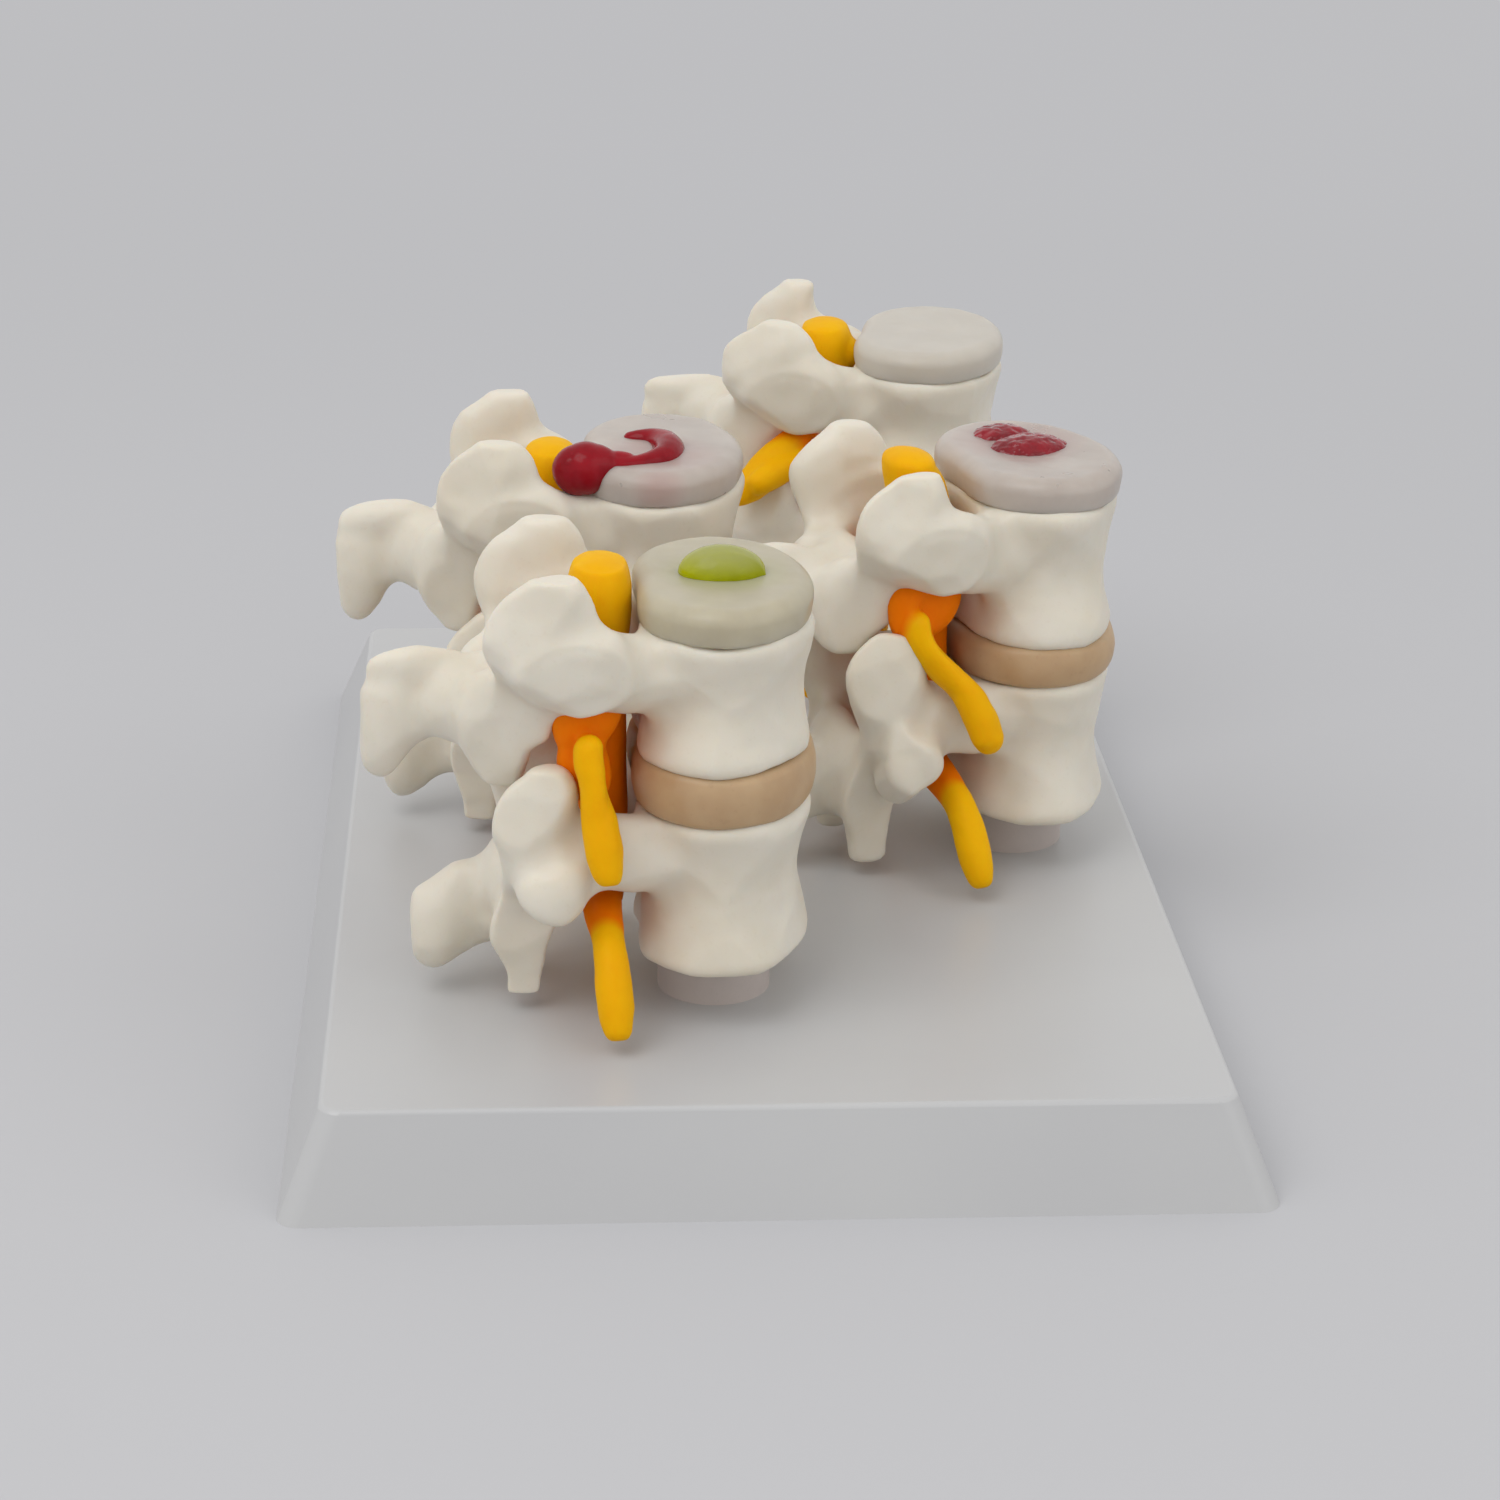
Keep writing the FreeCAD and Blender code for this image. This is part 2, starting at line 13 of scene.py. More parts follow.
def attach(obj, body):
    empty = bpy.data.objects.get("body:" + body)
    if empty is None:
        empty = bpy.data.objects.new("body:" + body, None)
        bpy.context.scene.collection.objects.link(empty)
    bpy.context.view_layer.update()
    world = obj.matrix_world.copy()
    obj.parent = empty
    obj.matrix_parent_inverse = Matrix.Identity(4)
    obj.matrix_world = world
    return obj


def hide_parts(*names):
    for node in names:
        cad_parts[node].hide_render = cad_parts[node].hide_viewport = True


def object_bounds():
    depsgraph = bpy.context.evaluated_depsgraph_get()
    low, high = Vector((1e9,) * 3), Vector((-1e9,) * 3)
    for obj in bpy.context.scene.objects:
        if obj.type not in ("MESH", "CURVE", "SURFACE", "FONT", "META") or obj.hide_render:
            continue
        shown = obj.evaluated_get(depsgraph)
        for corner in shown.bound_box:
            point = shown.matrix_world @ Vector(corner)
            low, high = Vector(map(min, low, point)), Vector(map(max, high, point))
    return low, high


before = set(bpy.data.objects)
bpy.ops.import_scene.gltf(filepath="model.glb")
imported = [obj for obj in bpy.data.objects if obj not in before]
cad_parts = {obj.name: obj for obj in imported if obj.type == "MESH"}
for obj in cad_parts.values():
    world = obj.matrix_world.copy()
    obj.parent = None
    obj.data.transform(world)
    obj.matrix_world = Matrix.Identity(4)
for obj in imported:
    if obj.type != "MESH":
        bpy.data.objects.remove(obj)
CAD_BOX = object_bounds()
LOG = logging.getLogger("spine_model")
MM = 0.001

Triple = tuple[float, float, float]
Stain = tuple[float, float, float, float]
Stop = tuple[float, Triple]

BODY_DEPTH = 35.0
BODY_WIDTH = 47.0
BACK_HOLLOW = 2.6
BACK_HOLLOW_SPREAD = 9.0
MIDDLE_DISC_Z = 60.0
MIDDLE_DISC_HEIGHT = 9.6
MIDDLE_DISC_SEAT = 0.5
TOP_DISC_Z = 95.0
TOP_DISC_HEIGHT = 6.5
TOP_DISC_SEAT = 0.4
UPPER_BODY_HEIGHT = 25.4
UPPER_MIDDLE_Z = 82.3
ARCH_START = -15.0
ARCH_BLEND = 4.0
# Where the cord's painted shade lies: the canal's half width, its top and their blends.
CANAL_HALF_WIDTH = 20.5
CANAL_BLEND = 2.5
CANAL_TOP_Z = 92.0
CANAL_TOP_BLEND = 5.0
# Where the green dome's painted shade begins and how it blends.
CROWN_Z = 102.3
CROWN_BLEND = 3.0
CUT_SHARE = 0.85
CUT_REACH = 1.5
CUT_BLEND = 0.5
TOP_SHARE = 0.56
EDGE_SHARE = 0.3
WALL_SHARE = 0.14
MERGE_DISTANCE = 0.00001
LUMP_SEGMENTS = 24
LUMP_RINGS = 14
CUSHION_SEGMENTS = 144
CUSHION_RINGS = 96
EVENING = 0.5
CREASE_ROUNDS = 3
SCOOP_ROUNDS = 2
ARCH_WEIGHT_STEP = 0.25
ARCH_WEIGHTS = (0.25, 0.5, 0.75, 1.0)
# Strength of the painted orange reflection of the nerve cord on the bone.
NERVE_REFLECTION_STRENGTH = 1.3


class Level(Enum):
    """Which vertebra of a segment a casting is."""

    UPPER = "upper_vertebra"
    LOWER = "lower_vertebra"


class Relief(Enum):
    """How strongly a surface undulates."""

    CALM = 0.10
    GENTLE = 0.22
    LIVELY = 0.45


class Shade(Enum):
    """Which painted shade a casting's second colour follows; the hollows also take a painted reflection of
    the cord.
    """

    HOLLOWS = "hollow_shade_mask"
    CANAL = "canal"
    CROWN = "crown"


@dataclass(frozen=True)
class Lump:
    """A rounded swelling of a casting, in its segment's own frame, in millimetres.

    The frame's u runs to the front, v to the side and w up from the tray's foot. A
    straight lump has a round wall and half balls as its ends.
    """

    centre: Triple
    half_size: Triple
    pitch: float = 0.0
    yaw: float = 0.0
    straight: bool = False

    @classmethod
    def rod(cls, start: Triple, end: Triple, radius: float) -> "Lump":
        """Describe a straight finger with round ends.

        Args:
            start: the middle of its one end.
            end: the middle of its other end.
            radius: its thickness from the middle line, in millimetres.

        Returns:
            The finger as a lump.
        """
        axis = Vector(end) - Vector(start)
        pitch = math.degrees(math.atan2(math.hypot(axis.x, axis.y), axis.z))
        yaw = math.degrees(math.atan2(axis.y, axis.x))
        middle = (Vector(end) + Vector(start)) / 2
        return cls(tuple(middle), (radius, radius, axis.length / 2 + radius), pitch, yaw, straight=True)

    def both(self) -> tuple["Lump", "Lump"]:
        """Pair a level lump with its twin on the other side."""
        u, v, w = self.centre
        return self, replace(self, centre=(u, -v, w))


@dataclass(frozen=True)
class Push:
    """A soft shove of a surface, in its segment's own frame, in millimetres."""

    centre: Triple
    move: Triple
    radius: float


@dataclass(frozen=True)
class Cut:
    """A plane that flattens what stands out past it, in its segment's own frame."""

    point: Triple
    normal: Triple
    radius: float

    def both(self) -> tuple["Cut", "Cut"]:
        """Pair the cut with its twin on the other side."""
        (u, v, w), (lean_u, lean_v, lean_w) = self.point, self.normal
        return self, replace(self, point=(u, -v, w), normal=(lean_u, -lean_v, lean_w))


@dataclass(frozen=True)
class SegmentPlan:
    """Place and turn of one motion segment on the tray, in millimetres and degrees."""

    name: str
    x: float
    y: float
    turn: float

    def matrix(self) -> Matrix:
        """Matrix from the segment's frame in millimetres to the model's frame in metres."""
        turned = Matrix.Rotation(math.radians(self.turn), 4, "Z")
        moved = Matrix.Translation(Vector((self.x, self.y, 0.0)) * MM)
        return moved @ turned @ Matrix.Scale(MM, 4)


FRONT = SegmentPlan("front", -9.72, -75.06, 2.0)
RIGHT = SegmentPlan("right", 55.98, -3.78, 17.0)
LEFT = SegmentPlan("left", -18.0, 7.02, -3.0)
REAR = SegmentPlan("rear", 46.08, 95.04, -12.0)

UPPER_BLENDS = (
    *Lump((-9.0, -13.5, 87.5), (9.5, 6.2, 7.4)).both(),
    *Lump((-28.0, -19.0, 90.0), (13.0, 6.2, 9.3)).both(),
    *Lump((-41.5, -9.8, 76.0), (7.0, 4.4, 11.0)).both(),
    Lump((-47.0, 0.0, 77.5), (9.0, 8.0, 9.0)),
    Lump((-54.5, 0.0, 84.0), (10.5, 3.2, 4.5)),
)
UPPER_PUSHES = (Push((-53.5, 0.0, 66.0), (0.0, 0.0, 5.0), 9.0),)
UPPER_CUTS = (
    *Cut((-28.0, -22.3, 88.0), (0.05, -1.0, -0.15), 15.0).both(),
    *Cut((-36.0, -21.2, 99.0), (-0.3, -0.9, 0.3), 11.0).both(),
    *Cut((-42.0, -12.8, 73.0), (-0.1, -1.0, -0.15), 13.0).both(),
)
LOWER_BLENDS = (*Lump((-9.0, -13.5, 52.5), (9.5, 6.2, 7.4)).both(),)
LOWER_CUTS = (
    *Cut((-34.0, -21.6, 62.0), (-0.25, -0.93, 0.25), 12.0).both(),
    *Cut((-37.5, -12.6, 34.0), (-0.1, -1.0, -0.15), 11.0).both(),
)
# Places where the bone takes a painted orange reflection of the nerve cord near the nerve openings: u, v, w
# and radius in millimetres.
NERVE_REFLECTION_PLACES = ((-17.0, 11.0, 77.0, 11.0), (-17.0, 11.0, 43.0, 11.0))


def select_only(piece: bpy.types.Object) -> None:
    """Deselect everything, then select one object and make it active.

    Args:
        piece: the object that the next operator acts on.
    """
    bpy.ops.object.select_all(action="DESELECT")
    piece.hide_set(False)
    piece.select_set(True)
    bpy.context.view_layer.objects.active = piece


def apply_modifier(piece: bpy.types.Object, kind: str, **settings: object) -> None:
    """Add one modifier, set it and apply it.

    Args:
        piece: the object to change.
        kind: the modifier's type.
        settings: the modifier's settings by name.
    """
    modifier = piece.modifiers.new(kind.lower(), kind)
    for name, value in settings.items():
        setattr(modifier, name, value)
    select_only(piece)
    bpy.ops.object.modifier_apply(modifier=modifier.name)


def mesh_anew(piece: bpy.types.Object, voxel: float) -> None:
    """Wrap a piece in one closed surface with even faces.

    Args:
        piece: a mesh object.
        voxel: how fine the new faces are, in millimetres.
    """
    apply_modifier(piece, "REMESH", mode="VOXEL", voxel_size=voxel * MM)


def smooth(piece: bpy.types.Object, rounds: int, **settings: object) -> None:
    """Even out a surface.

    Args:
        piece: a mesh object.
        rounds: how often it is evened out.
        settings: the modifier's other settings by name.
    """
    apply_modifier(piece, "SMOOTH", factor=EVENING, iterations=rounds, **settings)


def thicken(piece: bpy.types.Object, height: float, **settings: object) -> None:
    """Move a surface outwards.

    Args:
        piece: a mesh object.
        height: how far it moves, in millimetres.
        settings: the modifier's other settings by name.
    """
    apply_modifier(piece, "DISPLACE", strength=height * MM, mid_level=0.0, **settings)


def displace(piece: bpy.types.Object, texture: bpy.types.Texture, height: float) -> None:
    """Move a surface in and out by a texture.

    Args:
        piece: a mesh object.
        texture: what the height follows.
        height: from the lowest to the highest place, in millimetres.
    """
    apply_modifier(
        piece, "DISPLACE", texture=texture, texture_coords="LOCAL", strength=height * MM, mid_level=0.5,
    )


def read_points(piece: bpy.types.Object) -> np.ndarray:
    """Read the vertices of a piece.

    Args:
        piece: a mesh object.

    Returns:
        One row per vertex, in metres.
    """
    points = np.zeros(len(piece.data.vertices) * 3, np.float32)
    piece.data.vertices.foreach_get("co", points)
    return points.reshape(-1, 3).astype(float)


def write_points(piece: bpy.types.Object, points: np.ndarray) -> None:
    """Write the vertices of a piece.

    Args:
        piece: a mesh object.
        points: one row per vertex, in metres.
    """
    piece.data.vertices.foreach_set("co", points.astype(np.float32).ravel())
    piece.data.update()


def write_shade(piece: bpy.types.Object, values: np.ndarray) -> None:
    """Store one value per vertex for the material's second colour: painted shade on the castings, a stain on
    the discs.

    Args:
        piece: a mesh object.
        values: one number from 0 to 1 per vertex.
    """
    attribute = piece.data.attributes.new("shade", "FLOAT", "POINT")
    attribute.data.foreach_set("value", values.astype(np.float32))


def hollow_shade_mask(piece: bpy.types.Object, rounds: int = 40, depth: float = 1.1) -> np.ndarray:
    """Find how deep each vertex lies below its surroundings, the mask of the painted shade in the hollows.

    Args:
        piece: a mesh object with even faces.
        rounds: how often the surface is evened out for the comparison.
        depth: the depth in millimetres that counts as full.

    Returns:
        One number from 0 to 1 per vertex.
    """
    points = read_points(piece)
    ends = np.zeros(len(piece.data.edges) * 2, np.int32)
    piece.data.edges.foreach_get("vertices", ends)
    first, second = ends.reshape(-1, 2).T
    count = len(points)
    degree = np.maximum(np.bincount(ends, minlength=count), 1)
    even = points.copy()
    for _ in range(rounds):
        for axis in range(3):
            column = even[:, axis]
            total = np.bincount(first, column[second], count) + np.bincount(second, column[first], count)
            even[:, axis] = (1.0 - EVENING) * column + EVENING * total / degree
    normals = np.zeros(count * 3, np.float32)
    piece.data.vertex_normals.foreach_get("vector", normals)
    rise = np.sum((even - points) * normals.reshape(-1, 3), axis=1)
    return np.clip(rise / (depth * MM), 0.0, 1.0)


class NodeTree:
    """Short ways to lay out a shader's nodes."""

    def __init__(self, tree: bpy.types.NodeTree) -> None:
        """Keep the tree that the nodes go into.

        Args:
            tree: a material's or a group's node tree.
        """
        self.tree = tree

    def add(self, kind: str, **settings: object) -> bpy.types.Node:
        """Add a node.

        Args:
            kind: the node's type.
            settings: the node's settings by name.

        Returns:
            The new node.
        """
        node = self.tree.nodes.new(kind)
        for name, value in settings.items():
            setattr(node, name, value)
        return node

    def link(self, source: bpy.types.NodeSocket, target: bpy.types.NodeSocket) -> None:
        """Link two sockets."""
        self.tree.links.new(source, target)

    def ramp(self, source: bpy.types.NodeSocket, stops: list[Stop]) -> bpy.types.Node:
        """Add a colour ramp.

        Args:
            source: the value that the ramp reads.
            stops: place and colour of each stop.

        Returns:
            The ramp's node.
        """
        node = self.add("ShaderNodeValToRGB")
        elements = node.color_ramp.elements
        while len(elements) < len(stops):
            elements.new(0.5)
        for element, (place, colour) in zip(elements, stops):
            element.position = place
            element.color = (*colour, 1.0)
        self.link(source, node.inputs["Fac"])
        return node


def cloud_group() -> bpy.types.NodeTree:
    """Build the node group that clouds a moulding's colour and gives a height for its skin.

    Returns:
        The group: object coordinates in, a cloud mask, a speck mask and a height out.
    """
    group = bpy.data.node_groups.new("moulded skin", "ShaderNodeTree")
    vector = group.interface.new_socket("Vector", in_out="INPUT", socket_type="NodeSocketVector")
    size = group.interface.new_socket("Cloud Scale", in_out="INPUT", socket_type="NodeSocketFloat")
    pores = group.interface.new_socket("Pore Scale", in_out="INPUT", socket_type="NodeSocketFloat")
    for name in ("Cloud", "Specks", "Height"):
        group.interface.new_socket(name, in_out="OUTPUT", socket_type="NodeSocketFloat")
    size.default_value = 60.0
    pores.default_value = 900.0
    nodes = NodeTree(group)
    source = nodes.add("NodeGroupInput")
    target = nodes.add("NodeGroupOutput")
    cloud = nodes.add("ShaderNodeTexNoise")
    cloud.inputs["Detail"].default_value = 4.0
    cloud.inputs["Roughness"].default_value = 0.55
    nodes.link(source.outputs[vector.name], cloud.inputs["Vector"])
    nodes.link(source.outputs[size.name], cloud.inputs["Scale"])
    fine = nodes.add("ShaderNodeTexNoise")
    fine.inputs["Detail"].default_value = 2.0
    nodes.link(source.outputs[vector.name], fine.inputs["Vector"])
    nodes.link(source.outputs[pores.name], fine.inputs["Scale"])
    specks = nodes.add("ShaderNodeMapRange")
    specks.inputs["From Min"].default_value = 0.62
    specks.inputs["From Max"].default_value = 0.72
    nodes.link(fine.outputs["Fac"], specks.inputs["Value"])
    blend = nodes.add("ShaderNodeMath", operation="MULTIPLY_ADD")
    blend.inputs[1].default_value = 0.35
    nodes.link(fine.outputs["Fac"], blend.inputs[0])
    nodes.link(cloud.outputs["Fac"], blend.inputs[2])
    nodes.link(cloud.outputs["Fac"], target.inputs["Cloud"])
    nodes.link(specks.outputs["Result"], target.inputs["Specks"])
    nodes.link(blend.outputs["Value"], target.inputs["Height"])
    return group


@dataclass(frozen=True)
class Finish:
    """One moulded material: two clouded colours, a fleck colour, a second colour for painted shade on some
    pieces and stains on the discs, and how light meets it.
    """

    name: str
    light: Triple
    dark: Triple
    fleck: Triple
    fleck_share: float = 0.1
    cloud_scale: float = 60.0
    pore_scale: float = 900.0
    roughness: float = 0.45
    roughness_swing: float = 0.08
    bump: float = 0.05
    bump_depth: float = 0.0004
    coat: float = 0.0
    coat_roughness: float = 0.1
    glow_through: float = 0.0
    glow_colour: Triple = (1.0, 0.6, 0.4)
    glow_depth: float = 0.002
    clear: float = 0.0
    index: float = 1.46
    specular: float = 0.5
    metallic: float = 0.0
    shade: Triple = (0.5, 0.4, 0.3)
    shade_share: float = 0.0

    def build(self, group: bpy.types.NodeTree) -> bpy.types.Material:
        """Lay out the material.

        Args:
            group: the shared skin group.

        Returns:
            The finished material.
        """
        material = bpy.data.materials.new(self.name)
        material.use_nodes = True
        nodes = NodeTree(material.node_tree)
        shader = material.node_tree.nodes["Principled BSDF"]
        place = nodes.add("ShaderNodeTexCoord")
        skin = nodes.add("ShaderNodeGroup", node_tree=group)
        skin.inputs["Cloud Scale"].default_value = self.cloud_scale
        skin.inputs["Pore Scale"].default_value = self.pore_scale
        nodes.link(place.outputs["Object"], skin.inputs["Vector"])
        tint = nodes.ramp(skin.outputs["Cloud"], [(0.34, self.dark), (0.66, self.light)])
        fleck = nodes.add("ShaderNodeMix", data_type="RGBA")
        share = nodes.add("ShaderNodeMath", operation="MULTIPLY")
        share.inputs[1].default_value = self.fleck_share
        nodes.link(skin.outputs["Specks"], share.inputs[0])
        nodes.link(share.outputs["Value"], fleck.inputs["Factor"])
        nodes.link(tint.outputs["Color"], fleck.inputs["A"])
        fleck.inputs["B"].default_value = (*self.fleck, 1.0)
        mask = nodes.add("ShaderNodeAttribute", attribute_name="shade")
        amount = nodes.add("ShaderNodeMath", operation="MULTIPLY")
        amount.inputs[1].default_value = self.shade_share
        shaded = nodes.add("ShaderNodeMix", data_type="RGBA")
        nodes.link(mask.outputs["Fac"], amount.inputs[0])
        nodes.link(amount.outputs["Value"], shaded.inputs["Factor"])
        nodes.link(fleck.outputs["Result"], shaded.inputs["A"])
        shaded.inputs["B"].default_value = (*self.shade, 1.0)
        nodes.link(shaded.outputs["Result"], shader.inputs["Base Color"])
        rough = nodes.add("ShaderNodeMapRange")
        rough.inputs["To Min"].default_value = max(0.02, self.roughness - self.roughness_swing)
        rough.inputs["To Max"].default_value = self.roughness + self.roughness_swing
        nodes.link(skin.outputs["Cloud"], rough.inputs["Value"])
        nodes.link(rough.outputs["Result"], shader.inputs["Roughness"])
        bump = nodes.add("ShaderNodeBump")
        bump.inputs["Strength"].default_value = self.bump
        bump.inputs["Distance"].default_value = self.bump_depth
        nodes.link(skin.outputs["Height"], bump.inputs["Height"])
        nodes.link(bump.outputs["Normal"], shader.inputs["Normal"])
        shader.inputs["Metallic"].default_value = self.metallic
        shader.inputs["IOR"].default_value = self.index
        shader.inputs["Specular IOR Level"].default_value = self.specular
        shader.inputs["Coat Weight"].default_value = self.coat
        shader.inputs["Coat Roughness"].default_value = self.coat_roughness
        shader.inputs["Subsurface Weight"].default_value = self.glow_through
        shader.inputs["Subsurface Radius"].default_value = self.glow_colour
        shader.inputs["Subsurface Scale"].default_value = self.glow_depth
        shader.inputs["Transmission Weight"].default_value = self.clear
        return material


# Its second colour is painted shade in the hollows and a painted orange reflection of the cord near the
# nerve openings.
BONE = Finish(
    "ivory casting", (0.75, 0.705, 0.61), (0.705, 0.65, 0.54), (0.58, 0.48, 0.35), fleck_share=0.10,
    cloud_scale=55.0, pore_scale=1100.0, roughness=0.42, bump=0.08, bump_depth=0.0005,
    glow_through=0.35, glow_colour=(1.0, 0.66, 0.42), glow_depth=0.0022, specular=0.4,
    shade=(0.62, 0.48, 0.34), shade_share=0.5,
)
TAN_DISC = Finish(
    "tan disc", (0.52, 0.36, 0.205), (0.45, 0.295, 0.16), (0.33, 0.20, 0.10), fleck_share=0.15,
    cloud_scale=80.0, pore_scale=800.0, roughness=0.42, bump=0.10,
    glow_through=0.3, glow_colour=(1.0, 0.55, 0.3), glow_depth=0.003,
)
GREEN_DISC = Finish(
    "milky disc front", (0.69, 0.63, 0.48), (0.60, 0.54, 0.40), (0.72, 0.68, 0.55), fleck_share=0.0,
    cloud_scale=90.0, pore_scale=900.0, roughness=0.32, bump=0.04,
    glow_through=0.5, glow_colour=(1.0, 0.9, 0.6), glow_depth=0.006, clear=0.35, index=1.42, specular=0.4,
    shade=(0.56, 0.56, 0.28), shade_share=0.6,
)
ROSE_DISC = Finish(
    "milky disc", (0.645, 0.58, 0.52), (0.555, 0.49, 0.44), (0.68, 0.62, 0.56), fleck_share=0.0,
    cloud_scale=90.0, pore_scale=900.0, roughness=0.3, bump=0.02,
    glow_through=0.5, glow_colour=(1.0, 0.8, 0.7), glow_depth=0.006, clear=0.25, index=1.42, specular=0.4,
    shade=(0.52, 0.32, 0.30), shade_share=0.55,
)
PLAIN_DISC = Finish(
    "milky disc rear", (0.74, 0.69, 0.61), (0.68, 0.63, 0.55), (0.78, 0.74, 0.67), fleck_share=0.0,
    cloud_scale=90.0, pore_scale=900.0, roughness=0.34, bump=0.04,
    glow_through=0.5, glow_colour=(1.0, 0.85, 0.7), glow_depth=0.006, clear=0.3, index=1.42, specular=0.4,
)
# Its second colour is painted shade: a deeper orange where the cord lies in the canal.
NERVE = Finish(
    "amber cord", (0.85, 0.455, 0.001), (0.80, 0.39, 0.001), (0.72, 0.26, 0.001), fleck_share=0.1,
    cloud_scale=70.0, pore_scale=800.0, roughness=0.5, bump=0.1,
    glow_through=0.3, glow_colour=(1.0, 0.35, 0.03), glow_depth=0.003, specular=0.07,
    shade=(0.86, 0.19, 0.0), shade_share=1.0,
)
# Its second colour is painted shade: a darker grey-green on the dome's top.
GREEN_NUCLEUS = Finish(
    "green nucleus", (0.38, 0.40, 0.001), (0.30, 0.32, 0.001), (0.50, 0.54, 0.02), fleck_share=0.1,
    cloud_scale=120.0, pore_scale=700.0, roughness=0.2, bump=0.05, coat=0.12, coat_roughness=0.05,
    glow_through=0.4, glow_colour=(0.9, 1.0, 0.2), glow_depth=0.003, specular=0.12,
    shade=(0.34, 0.34, 0.13), shade_share=0.75,
)
RED_NUCLEUS = Finish(
    "crimson nucleus", (0.30, 0.006, 0.014), (0.21, 0.003, 0.008), (0.42, 0.03, 0.04), fleck_share=0.1,
    cloud_scale=120.0, pore_scale=700.0, roughness=0.2, bump=0.05, coat=0.12, coat_roughness=0.05,
    glow_through=0.2, glow_colour=(1.0, 0.2, 0.15), glow_depth=0.002, specular=0.12,
)
WET_NUCLEUS = Finish(
    "wet crimson nucleus", (0.28, 0.003, 0.012), (0.17, 0.002, 0.007), (0.34, 0.03, 0.04), fleck_share=0.1,
    cloud_scale=260.0, pore_scale=700.0, roughness=0.12, roughness_swing=0.04, bump=0.3, bump_depth=0.0008,
    coat=0.6, coat_roughness=0.02, glow_through=0.15, glow_colour=(1.0, 0.2, 0.15), glow_depth=0.002,
    specular=0.12,
)
TRAY_PLASTIC = Finish(
    "pale grey tray", (0.515, 0.515, 0.515), (0.495, 0.495, 0.50), (0.44, 0.44, 0.445), fleck_share=0.05,
    cloud_scale=14.0, pore_scale=1500.0, roughness=0.34, roughness_swing=0.04, bump=0.03, bump_depth=0.0002,
)
POST_PLASTIC = Finish(
    "mid grey post", (0.56, 0.49, 0.455), (0.50, 0.44, 0.41), (0.30, 0.30, 0.29), fleck_share=0.1,
    cloud_scale=90.0, pore_scale=1500.0, roughness=0.38, bump=0.05,
)
SCREW_STEEL = Finish(
    "zinc screw", (0.66, 0.66, 0.68), (0.56, 0.56, 0.58), (0.42, 0.42, 0.43), fleck_share=0.2,
    cloud_scale=300.0, pore_scale=2500.0, roughness=0.32, bump=0.08, metallic=1.0,
)


class Palette:
    """Every material of the model, built once."""

    def __init__(self) -> None:
        """Build the shared group and the materials."""
        group = cloud_group()
        self.bone = BONE.build(group)
        self.tan_disc = TAN_DISC.build(group)
        self.green_disc = GREEN_DISC.build(group)
        self.rose_disc = ROSE_DISC.build(group)
        self.plain_disc = PLAIN_DISC.build(group)
        self.nerve = NERVE.build(group)
        self.green = GREEN_NUCLEUS.build(group)
        self.red = RED_NUCLEUS.build(group)
        self.wet_red = WET_NUCLEUS.build(group)
        self.tray = TRAY_PLASTIC.build(group)
        self.post = POST_PLASTIC.build(group)
        self.screw = SCREW_STEEL.build(group)


